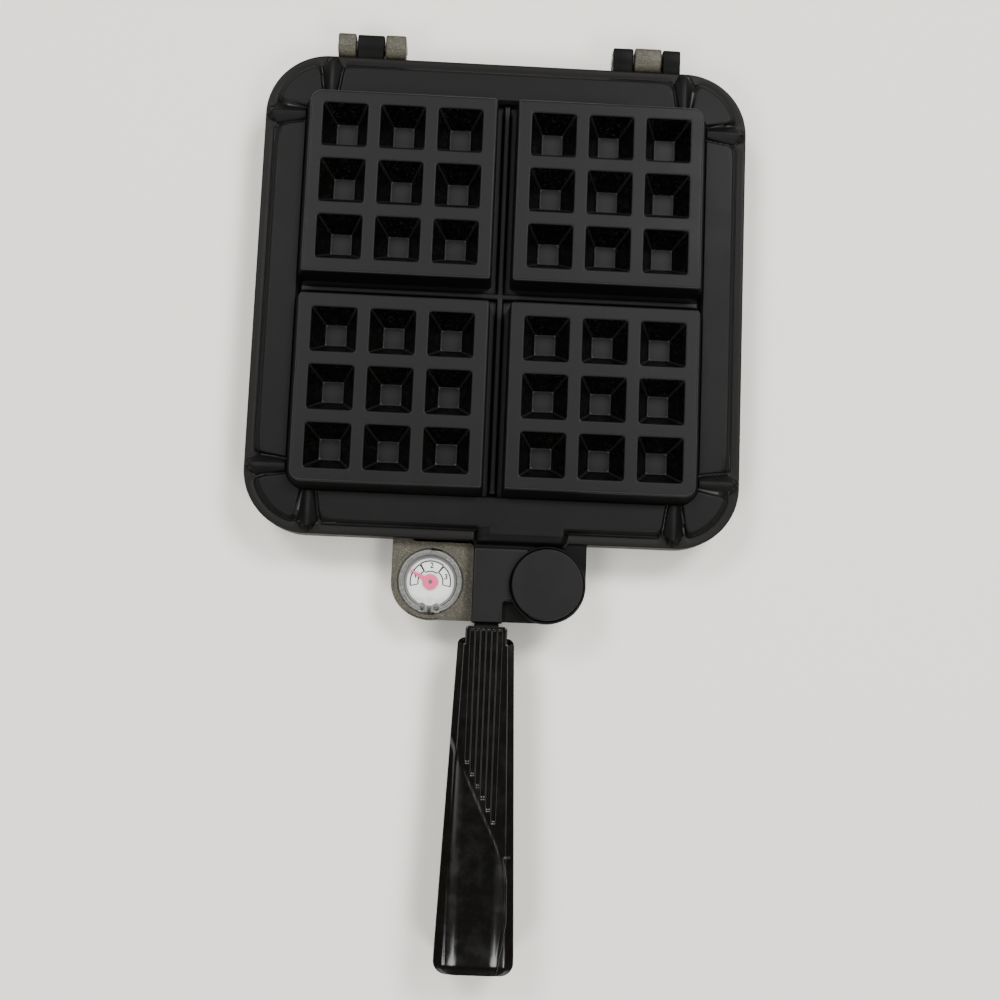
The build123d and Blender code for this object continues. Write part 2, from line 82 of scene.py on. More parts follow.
class Half(Enum):
    """The two halves of the iron, each with its own body and its own way round."""

    UPPER = "upper"
    LOWER = "lower"

    @property
    def body(self) -> str:
        """Name of the body that this half's pieces ride on."""
        return f"{self.value}_half"

    @property
    def way(self) -> int:
        """1 where the plate frame is upright, -1 where it is turned over."""
        return 1 if self is Half.UPPER else -1

    @property
    def casting_slot(self) -> str:
        """The record's material slot for the outside of this half's casting."""
        return "coated_casting" if self is Half.UPPER else "pewter_casting"

    def node(self, name: str) -> str:
        """Name of this half's CAD node."""
        return f"{self.value}_{name}"

    def place(self, points: Array) -> Array:
        """Turns plate-frame millimetres into row metres.

        Args:
            points: n by 3 array in the plate's frame.

        Returns:
            n by 3 array in the row's frame.
        """
        turned = points * np.array([self.way, 1, self.way]) * MM
        return turned + np.array([0.0, HINGE_PLACE[1] - HINGE_Y * MM, HINGE_PLACE[2]])


# ---- surfaces -----------------------------------------------------------------------------
def filleted(corners: Sequence[tuple[float, float, float]], steps: int = 3,
             closed: bool = False) -> Array:
    """Rounds the corners of a broken line.

    At a corner of radius r where the line turns by an angle a, the arc starts r tan(a / 2)
    before the corner and ends as far after it.

    Args:
        corners: two coordinates and the radius of each corner.
        steps: pieces in each arc.
        closed: joins the last corner to the first.

    Returns:
        n by 2 array of points along the rounded line.
    """
    spots = np.array([corner[:2] for corner in corners], float)
    before, after = np.roll(spots, 1, axis=0), np.roll(spots, -1, axis=0)
    line = []
    for place, (here, back, ahead) in enumerate(zip(spots, before, after)):
        radius = corners[place][2]
        if radius <= 0 or (not closed and place in (0, len(spots) - 1)):
            line.append(here)
            continue
        into = (here - back) / np.linalg.norm(here - back)
        out = (ahead - here) / np.linalg.norm(ahead - here)
        turn = math.atan2(into[0] * out[1] - into[1] * out[0], float(into @ out))
        side = np.array([-into[1], into[0]]) * math.copysign(radius, turn)
        centre = here - into * radius * abs(math.tan(turn / 2)) + side
        angle = np.linspace(0, turn, steps + 1)
        spin = np.stack([np.cos(angle), -np.sin(angle), np.sin(angle), np.cos(angle)], 1)
        line.extend(centre + spin.reshape(-1, 2, 2) @ -side)
    return np.array(line)


@dataclass(frozen=True)
class Profile:
    """A level for each distance: straight runs joined by arcs."""

    distance: Array
    level: Array

    @classmethod
    def rounded(cls, corners: Sequence[tuple[float, float, float]], steps: int = 3,
                hold: float = 0.25, longest: float = 99.0) -> "Profile":
        """Rounds the corners of a broken line of distances and levels.

        Args:
            corners: distance, level and radius of each corner.
            steps: pieces in each arc.
            hold: a long straight run also gets points this far inside its ends, which keep
                its shading flat.
            longest: longer straight runs than this are divided.

        Returns:
            The rounded line as points in order.
        """
        points = filleted(corners, steps)
        held = [points[:1]]
        for here, after in zip(points, points[1:]):
            run = float(np.linalg.norm(after - here))
            at = np.linspace(0, 1, max(2, math.ceil(run / longest) + 1))[1:]
            if run > 5 * hold:
                at = np.unique(np.concatenate([[hold / run, 1 - hold / run], at]))
            held.append(here + at[:, None] * (after - here))
        line = np.concatenate(held)
        return cls(line[:, 0], line[:, 1])

    def at(self, distance: Array) -> Array:
        """Level at each distance, by straight lines between the points."""
        return np.interp(distance, self.distance, self.level)


@dataclass
class Sheet:
    """Points and faces of one surface, and which finish of its piece its faces wear."""

    points: Array
    faces: Array
    finish: Union[int, Array] = 0

    def turned_over(self) -> "Sheet":
        """The same surface facing the other way."""
        return Sheet(self.points, self.faces[:, ::-1], self.finish)


def grid_faces(rows: int, columns: int, wrap_rows: bool = False,
               wrap_columns: bool = False) -> Array:
    """Quads between neighbours of a grid stored row by row.

    Args:
        rows: rows of points.
        columns: points in a row.
        wrap_rows: joins the last row to the first.
        wrap_columns: joins the last point of a row to its first.

    Returns:
        m by 4 array of point indices.
    """
    row = np.arange(rows if wrap_rows else rows - 1)[:, None]
    column = np.arange(columns if wrap_columns else columns - 1)[None, :]
    below, beside = (row + 1) % rows, (column + 1) % columns
    corners = [row * columns + column, row * columns + beside,
               below * columns + beside, below * columns + column]
    return np.stack([np.broadcast_to(c, (row.size, column.size)).ravel() for c in corners], 1)


def grid_sheet(points: Array, wrap_rows: bool = False, wrap_columns: bool = False,
               finish: Union[int, Array] = 0) -> Sheet:
    """A surface through a rows by columns by 3 array of points."""
    rows, columns = points.shape[:2]
    faces = grid_faces(rows, columns, wrap_rows, wrap_columns)
    return Sheet(points.reshape(-1, 3), faces, finish)


def capped(points: Array, finish: Union[int, Array] = 0) -> list[Sheet]:
    """A tube through rows of points, each row a closed ring, with a flat face over each end.

    Args:
        points: rows by columns by 3 array.
        finish: finish of every face, or one number for each quad of the tube.

    Returns:
        The tube and its two ends.
    """
    rows, columns = points.shape[:2]
    ring = np.arange(columns)[None]
    ends = np.broadcast_to(finish, (rows - 1) * columns)[[0, -1]]
    return [grid_sheet(points, wrap_columns=True, finish=finish),
            Sheet(points[0], ring[:, ::-1], ends[0]), Sheet(points[-1], ring, ends[1])]


def revolved(line: Array, centre: tuple[float, float], turns: int = 96,
             finish: Union[int, Array] = 0, ring: bool = False) -> Sheet:
    """A round solid: a line of (radius, level) points carried about an upright axis.

    Args:
        line: n by 2 array from the axis at one end to the axis at the other, or round the
            section of a ring.
        centre: x and y of the axis.
        turns: points around.
        finish: finish of the faces.
        ring: joins the line's last point to its first.

    Returns:
        The closed surface, shut at the axis or along the line.
    """
    angle = np.linspace(0, 2 * math.pi, turns, endpoint=False)
    radius, level = line[:, 0][:, None], line[:, 1][:, None]
    points = np.stack([centre[0] + radius * np.cos(angle), centre[1] + radius * np.sin(angle),
                       np.broadcast_to(level, (len(line), turns))], 2)
    return grid_sheet(points, ring, True, finish)


def repeated(sheet: Sheet, offsets: Array) -> Sheet:
    """The sheet once at each offset."""
    count = len(sheet.points)
    starts = np.arange(len(offsets))[:, None, None] * count
    return Sheet((sheet.points[None] + offsets[:, None]).reshape(-1, 3),
                 (sheet.faces[None] + starts).reshape(-1, sheet.faces.shape[1]),
                 np.tile(np.broadcast_to(sheet.finish, len(sheet.faces)), len(offsets)))


def quartered(sheet: Sheet) -> list[Sheet]:
    """The sheet and its copies turned by 90, 180 and 270 degrees about the z axis."""
    turn = np.array([[0, 1, 0], [-1, 0, 0], [0, 0, 1]])
    return [Sheet(sheet.points @ np.linalg.matrix_power(turn, k), sheet.faces, sheet.finish)
            for k in range(4)]


def make_piece(name: str, half: Half, sheets: Sequence[Sheet], finishes: Sequence["Finish"],
               replaces: Sequence[str] = (), body: str = "") -> bpy.types.Object:
    """Makes one piece of the iron from its surfaces, with points that coincide joined.

    Args:
        name: the piece's name.
        half: the half that it belongs to, which also places it.
        sheets: its surfaces in the plate's frame.
        finishes: its finishes, in the order that the sheets count them.
        replaces: CAD nodes that it stands for.
        body: body that it rides on, if not its half's.

    Returns:
        The finished object.
    """
    starts = np.cumsum([0] + [len(sheet.points) for sheet in sheets])
    cloud = np.concatenate([sheet.points for sheet in sheets])
    _, kept, joined = np.unique(np.round(cloud * JOIN_CELLS + JOIN_SHIFT).astype(np.int64),
                                axis=0, return_index=True, return_inverse=True)
    points, joined = half.place(cloud[kept]), joined.ravel()
    corners, totals, finish = [], [], []
    for sheet, start in zip(sheets, starts):
        faces = joined[sheet.faces + start]
        keep = faces != np.roll(faces, -1, axis=1)
        total = keep.sum(1)
        keep[total < 3] = False
        corners.append(faces[keep])
        totals.append(total[total > 2])
        finish.append(np.broadcast_to(sheet.finish, len(faces))[total > 2])
    corner, total = np.concatenate(corners), np.concatenate(totals)
    mesh = bpy.data.meshes.new(name)
    mesh.vertices.add(len(points))
    mesh.vertices.foreach_set("co", points.astype(np.float32).ravel())
    mesh.loops.add(len(corner))
    mesh.loops.foreach_set("vertex_index", corner.astype(np.int32))
    mesh.polygons.add(len(total))
    mesh.polygons.foreach_set("loop_start", (np.cumsum(total) - total).astype(np.int32))
    mesh.polygons.foreach_set("material_index", np.concatenate(finish).astype(np.int32))
    mesh.polygons.foreach_set("use_smooth", np.ones(len(total), bool))
    mesh.update(calc_edges=True)
    mesh.validate()
    piece = bpy.data.objects.new(name, mesh)
    bpy.context.scene.collection.objects.link(piece)
    for each in finishes:
        mesh.materials.append(each.material())
    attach(piece, body or half.body)
    if replaces:
        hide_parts(*replaces)
    log.info("%s: %d points, %d faces", name, len(points), len(total))
    return piece


@dataclass(frozen=True)
class BoxOutline:
    """Rounded rectangles with the same count of points, so that rows of them make a surface.

    turn lists where points lie on a corner, from 0 to 1 of its quarter turn, and along where
    they lie on a straight side.
    """

    turn: Array = field(default_factory=lambda: np.linspace(0, 1, 5))
    along: Array = field(default_factory=lambda: np.array([0.2, 0.5, 0.8]))

    def rings(self, low: Array, high: Array, radius: Array) -> Array:
        """Anticlockwise rings from the right end of the top side's corner.

        Args:
            low: n by 2 array with the lowest x and y of each ring.
            high: n by 2 array with the highest x and y.
            radius: n by 4 array, the corner radii from the corner at high x and high y on.

        Returns:
            n by m by 2 array.
        """
        signs = np.array([[1, 1], [-1, 1], [-1, -1], [1, -1]])
        corner = np.where(signs > 0, high[:, None], low[:, None])
        centre = corner - signs * radius[..., None]
        angle = (np.arange(4)[:, None] + self.turn) * math.pi / 2
        arc = centre[:, :, None] + radius[:, :, None, None] * np.stack(
            [np.cos(angle), np.sin(angle)], 2)
        start, end = arc[:, :, -1:], np.roll(arc, -1, axis=1)[:, :, :1]
        side = start + (end - start) * self.along[:, None]
        return np.concatenate([arc, side], 2).reshape(len(low), -1, 2)

    def squares(self, half: Array, radius: Array) -> Array:
        """Rings of squares about the origin, one radius for all corners of each."""
        size = np.repeat(half[:, None], 2, axis=1)
        return self.rings(-size, size, np.repeat(radius[:, None], 4, axis=1))


def levelled(rings: Array, level: Array) -> Array:
    """Gives each ring its own level."""
    heights = np.broadcast_to(level[:, None, None], rings.shape[:2] + (1,))
    return np.concatenate([rings, heights], 2)


def tensor(lines: Array, height: Callable[[Array, Array], Array],
           keep: Callable[[Array, Array], Array] = lambda x, y: x * 0 < 1) -> Sheet:
    """A surface over a square grid of lines, facing +z.

    Args:
        lines: places of the grid lines, the same in x and y.
        height: level of each point from its x and y.
        keep: which faces are kept, from the x and y of their middles.

    Returns:
        The surface, each quad cut along the diagonal that lies deeper.
    """
    x, y = np.meshgrid(lines, lines)
    level = height(x, y)
    faces = grid_faces(len(lines), len(lines))
    middle = (lines[1:] + lines[:-1]) / 2
    kept = keep(*np.meshgrid(middle, middle)).ravel()
    spread = level.ravel()[faces]
    other = np.abs(spread[:, 0] - spread[:, 2]) > np.abs(spread[:, 1] - spread[:, 3])
    first = np.where(other[:, None], faces[:, [0, 1, 3]], faces[:, [0, 1, 2]])
    second = np.where(other[:, None], faces[:, [1, 2, 3]], faces[:, [0, 2, 3]])
    triangles = np.stack([first[kept], second[kept]], 1).reshape(-1, 3)
    return Sheet(np.stack([x, y, level], 2).reshape(-1, 3), triangles)


def prism(outline: Array, low: float, high: float, edges: tuple[float, float] = (0.5, 0.5),
          finish: Union[int, Array] = 0, hold: float = 0.3) -> list[Sheet]:
    """An upright solid over an anticlockwise outline, its rims rounded.

    A rim of radius r is drawn as rings pushed in by r (1 - cos a) along the outline's inward
    normals, at r (1 - sin a) from the end, for angles a from 0 to 90 degrees.

    Args:
        outline: n by 2 array of points.
        low: level of the bottom.
        high: level of the top.
        edges: radii of the bottom rim and the top rim.
        finish: finish of its faces.
        hold: width of the flat ring beside each rounded rim.

    Returns:
        Its side and its two ends.
    """
    step = np.roll(outline, -1, axis=0) - outline
    step /= np.linalg.norm(step, axis=1)[:, None]
    normal = np.stack([-step[:, 1], step[:, 0]], 1)
    both = normal + np.roll(normal, 1, axis=0)
    inward = both / np.maximum((both * normal).sum(1), 0.5)[:, None]
    angle = np.linspace(0, math.pi / 2, 5)
    inset = [(1 - np.cos(angle)) * edges[0], (1 - np.cos(angle)) * edges[1]]
    rise = [(1 - np.sin(angle)) * edges[0], (1 - np.sin(angle)) * edges[1]]
    pushed = np.concatenate([[edges[0] + hold], inset[0][::-1], inset[1], [edges[1] + hold]])
    level = np.concatenate([[low], low + rise[0][::-1], high - rise[1], [high]])
    rings = outline + pushed[:, None, None] * inward
    return capped(levelled(rings, level), finish)


def to_x(sheet: Sheet) -> Sheet:
    """Turns a solid drawn in (y, z) and raised along x into place."""
    return Sheet(sheet.points[:, [2, 0, 1]], sheet.faces, sheet.finish)


# ---- finishes -----------------------------------------------------------------------------
class Signal:
    """A socket of a shader that can be used in sums."""

    def __init__(self, shader: "Shader", socket: bpy.types.NodeSocket) -> None:
        """Wraps one output socket."""
        self.shader, self.socket = shader, socket

    def _sum(self, operation: str, *inputs: Any) -> "Signal":
        """One Math node."""
        return self.shader.node("ShaderNodeMath", {"operation": operation},
                                dict(enumerate(inputs)))

    def __add__(self, other: Any) -> "Signal":
        """self + other."""
        return self._sum("ADD", self, other)

    __radd__ = __add__

    def __sub__(self, other: Any) -> "Signal":
        """self - other."""
        return self._sum("SUBTRACT", self, other)

    def __rsub__(self, other: Any) -> "Signal":
        """other - self."""
        return self._sum("SUBTRACT", other, self)

    def __mul__(self, other: Any) -> "Signal":
        """self * other."""
        return self._sum("MULTIPLY", self, other)

    __rmul__ = __mul__

    def __abs__(self) -> "Signal":
        """Size of self."""
        return self._sum("ABSOLUTE", self)

    def ramp(self, low: float, high: float, start: float = 0.0, end: float = 1.0) -> "Signal":
        """Eases from start where self is low to end where it is high."""
        return self.shader.node(
            "ShaderNodeMapRange", {"interpolation_type": "SMOOTHSTEP"},
            {"Value": self, "From Min": low, "From Max": high, "To Min": start, "To Max": end})


class Shader:
    """A material with one Principled shader, and what feeds it."""

    def __init__(self, name: str) -> None:
        """Makes the material and empties it."""
        self.material = bpy.data.materials.new(name)
        self.material.use_nodes = True
        self.tree = self.material.node_tree
        self.tree.nodes.clear()
        output = self.tree.nodes.new("ShaderNodeOutputMaterial")
        self.surface = self.tree.nodes.new("ShaderNodeBsdfPrincipled")
        self.tree.links.new(self.surface.outputs[0], output.inputs["Surface"])

    def node(self, kind: str, settings: dict[str, Any], inputs: dict[Union[str, int], Any],
             output: Union[str, int] = 0) -> Signal:
        """Adds a node.

        Args:
            kind: its type.
            settings: its properties, set before its inputs.
            inputs: a number, a colour or a signal for each named input.
            output: the output that is wanted.

        Returns:
            That output.
        """
        node = self.tree.nodes.new(kind)
        for name, value in settings.items():
            setattr(node, name, value)
        for name, value in inputs.items():
            self._feed(node.inputs[name], value)
        return Signal(self, node.outputs[output])

    def _feed(self, socket: bpy.types.NodeSocket, value: Any) -> None:
        """Links a signal to a socket, or sets the socket's own value."""
        if isinstance(value, Signal):
            self.tree.links.new(value.socket, socket)
        elif isinstance(value, tuple) and socket.type == "RGBA":
            socket.default_value = (*value, 1.0)
        else:
            socket.default_value = value

    def feed(self, **inputs: Any) -> None:
        """Sets inputs of the Principled shader, named with _ for each space."""
        for name, value in inputs.items():
            self._feed(self.surface.inputs[name.replace("_", " ")], value)

    def place(self) -> Signal:
        """Where a point is in the row's frame."""
        return self.node("ShaderNodeTexCoord", {}, {}, "Object")

    def axis(self, letter: str) -> Signal:
        """One coordinate in millimetres in the row's frame."""
        return self.node("ShaderNodeSeparateXYZ", {}, {0: self.place()}, letter) * 1000

    def noise(self, size: float, detail: float = 2.0, stretch: Colour = (1, 1, 1)) -> Signal:
        """Smooth noise around 0.5 with patches of a size in millimetres."""
        place = self.node("ShaderNodeMapping", {}, {"Vector": self.place(), "Scale": stretch})
        return self.node("ShaderNodeTexNoise", {},
                         {"Vector": place, "Scale": 1000 / size, "Detail": detail})

    def specks(self, size: float) -> Signal:
        """A random number from 0 to 1 for each cell of a size in millimetres."""
        cell = self.node("ShaderNodeTexVoronoi", {}, {"Vector": self.place(),
                                                      "Scale": 1000 / size}, "Color")
        return self.node("ShaderNodeSeparateColor", {}, {0: cell})

    def blend(self, amount: Signal, low: Any, high: Any) -> Signal:
        """Mixes two colours."""
        node = self.tree.nodes.new("ShaderNodeMix")
        node.data_type = "RGBA"
        for name, value in (("Factor_Float", amount), ("A_Color", low), ("B_Color", high)):
            self._feed(next(i for i in node.inputs if i.identifier == name), value)
        return Signal(self, next(o for o in node.outputs if o.identifier == "Result_Color"))

    def bump(self, height: Signal, depth: float) -> None:
        """Roughens the surface by a height signal times a depth in millimetres."""
        normal = self.node("ShaderNodeBump", {}, {"Height": height, "Distance": depth * MM,
                                                  "Strength": 1.0}, "Normal")
        self.feed(Normal=normal)


@dataclass(frozen=True)
class Finish:
    """A plain finish, and the base of the others."""

    name: str
    colour: Colour = (0.5, 0.5, 0.5)
    roughness: float = 0.4
    metallic: float = 0.0
    grain: float = 0.0

    def material(self) -> bpy.types.Material:
        """The finish's material, made the first time that it is asked for."""
        name = f"{self.name}_look"
        return bpy.data.materials.get(name) or self.draw(Shader(name))

    def times(self, factor: float) -> Colour:
        """The finish's colour made brighter or darker by a factor."""
        red, green, blue = self.colour
        return red * factor, green * factor, blue * factor

    def draw(self, shader: Shader) -> bpy.types.Material:
        """Sets the shader up.

        Args:
            shader: a new shader.

        Returns:
            Its material.
        """
        shader.feed(Base_Color=self.colour, Roughness=self.roughness, Metallic=self.metallic)
        if self.grain:
            shader.bump(shader.noise(0.6), self.grain)
        return shader.material


@dataclass(frozen=True)
class Coat(Finish):
    """Matte non-stick coat over cast metal.

    edge is a bronze tint low on the rim, partly the thin coat's own colour and partly a
    painted reflection of the pale floor; edge_share says how strongly it shows and
    edge_heights where it begins and is full, above the parting plane.  shine is the level of
    its mirror part, glint and paler say how much brighter its specks and patches are than the
    rest, a large glint painting the specks as glints, and patch, pore and speck are sizes in
    millimetres.
    """

    edge: Colour = (0.06, 0.052, 0.042)
    edge_share: float = 0.0
    edge_heights: tuple[float, float] = (9.0, 4.5)
    shine: float = 0.15
    glint: float = 2.2
    paler: float = 1.25
    patch: float = 22.0
    pore: float = 0.5
    speck: float = 0.45

    def draw(self, shader: Shader) -> bpy.types.Material:
        """Fine grain, bright specks, faint patches, and a tint towards the parting plane."""
        patches = shader.noise(self.patch, 3.0).ramp(0.35, 0.65)
        grain = shader.noise(self.pore, 3.0)
        colour = shader.blend(patches, self.colour, self.times(self.paler))
        # Bright specks; a large glint paints them as glints.
        colour = shader.blend(shader.specks(self.speck).ramp(0.9, 1.0, 0.0, 0.5), colour,
                              self.times(self.glint))
        # The bronze tint towards the parting plane is partly the coat's own colour and partly a
        # painted reflection of the pale floor.
        if self.edge_share:
            height = abs(shader.axis("Z") - PARTING_LEVEL)
            low = height.ramp(*self.edge_heights, 0.0, self.edge_share)
            colour = shader.blend(low, colour, self.edge)
        shader.feed(Base_Color=colour, Metallic=self.metallic, Specular_IOR_Level=self.shine,
                    Roughness=patches * 0.06 + grain * 0.08 + (self.roughness - 0.07))
        shader.bump(grain, self.grain)
        return shader.material


@dataclass(frozen=True)
class Sparkle(Finish):
    """Slightly metallic coat with bright flakes; its spots' sizes are in millimetres."""

    flake: Colour = (0.5, 0.47, 0.4)
    shades: tuple[float, float] = (0.85, 1.12)
    flake_size: float = 0.4
    gloss_size: float = 0.5
    patch: float = 6.0
    pore: float = 0.8

    def draw(self, shader: Shader) -> bpy.types.Material:
        """Small bright flakes on an uneven ground, each spot with a gloss of its own."""
        flakes = shader.specks(self.flake_size)
        patches = shader.noise(self.patch, 3.0)
        shade = shader.blend(patches.ramp(0.3, 0.7), *map(self.times, self.shades))
        shade = shader.blend(flakes.ramp(0.62, 1.0), shade, self.flake)
        shader.feed(Base_Color=shade, Metallic=self.metallic,
                    Roughness=self.roughness + shader.specks(self.gloss_size) * 0.12 - 0.06)
        shader.bump(shader.noise(self.pore, 2.0), self.grain)
        return shader.material


@dataclass(frozen=True)
class Phenolic(Finish):
    """Glossy moulded phenolic with faint mottling and light wear."""

    mottle: Colour = (0.045, 0.012, 0.006)
    shine: float = 0.35
    spot: float = 1.4
    wear: float = 7.0
    ripple: float = 1.8

    def draw(self, shader: Shader) -> bpy.types.Material:
        """Reddish specks under a gloss that varies in patches."""
        mottled = shader.noise(self.spot, 5.0, (1, 0.6, 1)).ramp(0.5, 0.75)
        colour = shader.blend(mottled, self.colour, self.mottle)
        worn = shader.noise(self.wear, 4.0).ramp(0.4, 0.7)
        shader.feed(Base_Color=colour, Roughness=worn * 0.08 + self.roughness,
                    Specular_IOR_Level=self.shine)
        shader.bump(shader.noise(self.ripple, 3.0), self.grain)
        return shader.material


@dataclass(frozen=True)
class Glass(Finish):
    """Clear flat glass, drawn as a faint mirror."""

    alpha: float = 0.05
    shine: float = 0.8

    def draw(self, shader: Shader) -> bpy.types.Material:
        """A constant low alpha."""
        shader.feed(Base_Color=self.colour, Roughness=self.roughness, Alpha=self.alpha,
                    Specular_IOR_Level=self.shine)
        return shader.material


BLACK = Coat("black_coat", (0.002, 0.002, 0.0019), 0.5, 0.0, 0.02, shine=0.18)
# Its bronze tint low on the rim is partly the coat's own colour and partly a painted reflection of
# the pale floor.
BORDER = Coat("black_coat_border", (0.002, 0.002, 0.0019), 0.5, 0.0, 0.02, edge_share=0.04,
              shine=0.13)
# A darker coat that paints the shade on the wells' walls, its specks painted as glints.
WALL_SHADE_GLINT = Coat("greasy_coat", (0.001, 0.001, 0.0009), 0.4, 0.0, 0.02, shine=0.07, glint=45.0)
HINGE = Coat("black_hinge", (0.002, 0.002, 0.0019), 0.5, 0.0, 0.02, shine=0.08)
# A pale coat that paints the highlight along the leaves' outlines.
LEAF_HIGHLIGHT = Coat("chalky_coat", (0.022, 0.021, 0.019), 0.5, 0.0, 0.02, shine=0.3)
# A darker, duller coat that paints shade: above the pads' feet, at the shoulder, round the leaf
# tips, in the trench and on the ear's outer face.
PAINTED_SHADE = Coat("dim_coat", (0.0015, 0.0015, 0.0014), 0.5, 0.0, 0.02, shine=0.08)
WORN = Coat("worn_coat", (0.006, 0.006, 0.0055), 0.42, 0.0, 0.02, shine=0.3)
PEWTER = Sparkle("pewter_coat", (0.0265, 0.023, 0.0125), 0.55, 0.08, 0.003,
                 (0.08, 0.072, 0.045))
PHENOLIC = Phenolic("phenolic", (0.001, 0.0009, 0.0007), 0.17, 0.0, 0.001,
                    (0.0055, 0.0019, 0.001))
# A paler phenolic that paints the highlights along the handle's edges and flutes.
PHENOLIC_HIGHLIGHT = Finish("phenolic_scuffed", (0.015, 0.015, 0.0135), 0.3)
STEEL = Finish("steel", (0.5, 0.49, 0.47), 0.32, 1.0)
SATIN = Sparkle("satin_steel", (0.125, 0.125, 0.118), 0.38, 0.5, 0.01, (0.24, 0.24, 0.22))
RIM = Finish("dial_rim", (0.2, 0.2, 0.19), 0.5)
WHITE = Finish("dial_white", (0.8, 0.8, 0.78), 0.45)
INK = Finish("dial_ink", (0.012, 0.012, 0.012), 0.6)
PINK = Finish("pointer_pink", (0.80, 0.09, 0.22), 0.4)
BIMETAL = Finish("bimetal", (0.55, 0.5, 0.42), 0.35, 1.0)
LENS = Glass("lens_glass", (0.0, 0.0, 0.0), 0.03)
PAPER = Finish("paper", (0.80, 0.78, 0.715), 0.9)


# ---- casting ------------------------------------------------------------------------------
@dataclass(frozen=True)
class Lattice:
    """Four blocks of wells, the crossing channels between them, and the cavities beneath.

    crease says where a well's corner creases get the worn coat's lighter lines, and wall where
    its walls get the darker coat that paints their shade, with specks painted as glints: how
    far below the top and how far outside the floor's edge each begins.  Fields ending in radii
    round a profile's corners, in the order in which the profile meets them.
    """

    pitch: float = 25.4
    first: float = 20.7
    mouth: float = 9.85
    floor: float = 4.85
    top: float = 18.5
    floor_level: float = 5.2
    well_radius: float = 1.3
    mouth_edge: float = 0.8
    floor_edge: float = 0.9
    crease: tuple[float, float] = (1.2, -0.3)
    wall: tuple[float, float] = (0.6, -0.1)
    edge: float = 0.9
    edge_worn: tuple[float, float] = (0.02, 0.75)
    channel: float = 4.0
    channel_floor: float = 4.5
    channel_draft: float = 0.05
    channel_corner: float = 1.4
    rib: float = 1.3
    rib_top: float = 7.5
    rib_end: float = 88.7
    rib_radii: tuple[float, float] = (0.8, 0.7)
    rib_end_radii: tuple[float, float] = (1.4, 0.3)
    base: float = 89.5
    base_level: float = 9.5
    draft: float = 0.287
    corner_centre: float = 82.0
    peg_level: float = 2.7
    peg_tip: float = 6.58
    peg_root: float = 11.54
    peg_corner: float = 2.4
    peg_radii: tuple[float, float] = (1.3, 1.2)
    ceiling: float = 15.9
    round_centre: float = 80.5
    cavity: tuple[float, float] = (7.2, 87.4)
    cavity_slope: float = 0.176
    cavity_radii: tuple[float, float] = (0.6, 0.8)
    closest_lines: float = 0.06
    seal: float = 0.14

    def spots(self) -> Array:
        """Well centres along one side of a block."""
        return self.first + self.pitch * np.arange(3)

    def wells(self) -> list[Sheet]:
        """One block's nine wells with the flat web between them, as rings about each well."""
        rim = self.pitch / 2
        line = Profile.rounded([(0, self.floor_level, 0), (self.floor, self.floor_level,
                                                           self.floor_edge),
                                (self.mouth, self.top, self.mouth_edge), (rim, self.top, 0)], 4)
        half, level = line.distance[::-1], line.level[::-1]
        radius = np.where(half < rim, np.minimum(self.well_radius, half), 0)
        rings = levelled(BoxOutline().squares(half, radius), level)
        depth, beside = self.top - level[1:, None], half[:-1, None] - self.floor
        column = np.arange(rings.shape[1]) % (rings.shape[1] // 4)
        crease = (depth > self.crease[0]) & (beside > self.crease[1])
        crease = crease & ((column == 1) | (column == 2))
        # The walls wear the darker coat that paints their shade, with painted glints.
        wall = (depth > self.wall[0]) & (beside > self.wall[1])
        finish = np.where(crease, 1, np.where(wall, 2, 0))
        well = grid_sheet(rings, wrap_columns=True, finish=finish.ravel())
        x, y = np.meshgrid(self.spots(), self.spots())
        return [repeated(well, np.stack([x.ravel(), y.ravel(), x.ravel() * 0], 1))]

    def frame(self) -> Sheet:
        """One block's sides and rounded top edge, up to the wells' web."""
        angle = np.linspace(0, math.pi / 2, 5)
        start = self.top - self.edge
        level = np.concatenate([[self.channel_floor - 0.5, self.channel_floor + 1, start - 0.3],
                                start + self.edge * np.sin(angle), [self.top] * 2])
        inset = np.concatenate([[0] * 3, self.edge * (1 - np.cos(angle)), [self.edge + 0.3, 0]])
        outer = self.base + (self.base_level - level) * self.draft - inset
        inner = self.channel + (level - self.channel_floor) * self.channel_draft + inset
        outer[-1] = self.first + 2.5 * self.pitch
        inner[-1] = self.first - 0.5 * self.pitch
        near = np.maximum(self.channel_corner - inset, 0.3)
        radius = np.stack([outer - self.corner_centre, near, near, near], 1)
        radius[-1] = 0
        side = BoxOutline().along
        along = np.concatenate([side, [1], side + 1, [2], side + 2]) / 3
        rings = BoxOutline(along=along).rings(np.stack([inner] * 2, 1),
                                              np.stack([outer] * 2, 1), radius)
        first, last = self.edge_worn
        worn = (inset[1:] > first) & (inset[1:] < self.edge * last)
        worn = np.repeat(worn, rings.shape[1])
        return grid_sheet(levelled(rings, level), wrap_columns=True, finish=worn.astype(int))

    def channels(self) -> Sheet:
        """Floor of the crossing channels with their ribs, rounded off at the border."""
        low, high = self.channel_floor, self.rib_top
        crest, foot = self.rib_radii
        across = Profile.rounded([(0, high, 0), (self.rib, high, crest),
                                  (self.rib + 0.25, low, foot), (self.channel + 0.4, low, 0)], 4)
        crest, foot = self.rib_end_radii
        along = Profile.rounded([(0, high, 0), (self.rib_end - 0.5, high, crest),
                                 (self.rib_end, low, foot), (self.base + 0.3, low, 0)], 4, 1.0)
        side = np.unique(np.round(np.concatenate([across.distance, along.distance,
                                                  np.arange(6, self.rib_end, 6)]), 3))
        lines = np.concatenate([-side[:0:-1], side])
        reach = self.channel + 0.41

        def height(x: Array, y: Array) -> Array:
            """The higher of the two ribs."""
            x, y = np.abs(x), np.abs(y)
            return np.maximum(np.minimum(across.at(x), along.at(y)),
                              np.minimum(across.at(y), along.at(x)))

        return tensor(lines, height,
                      lambda x, y: (np.abs(x) < reach) | (np.abs(y) < reach))

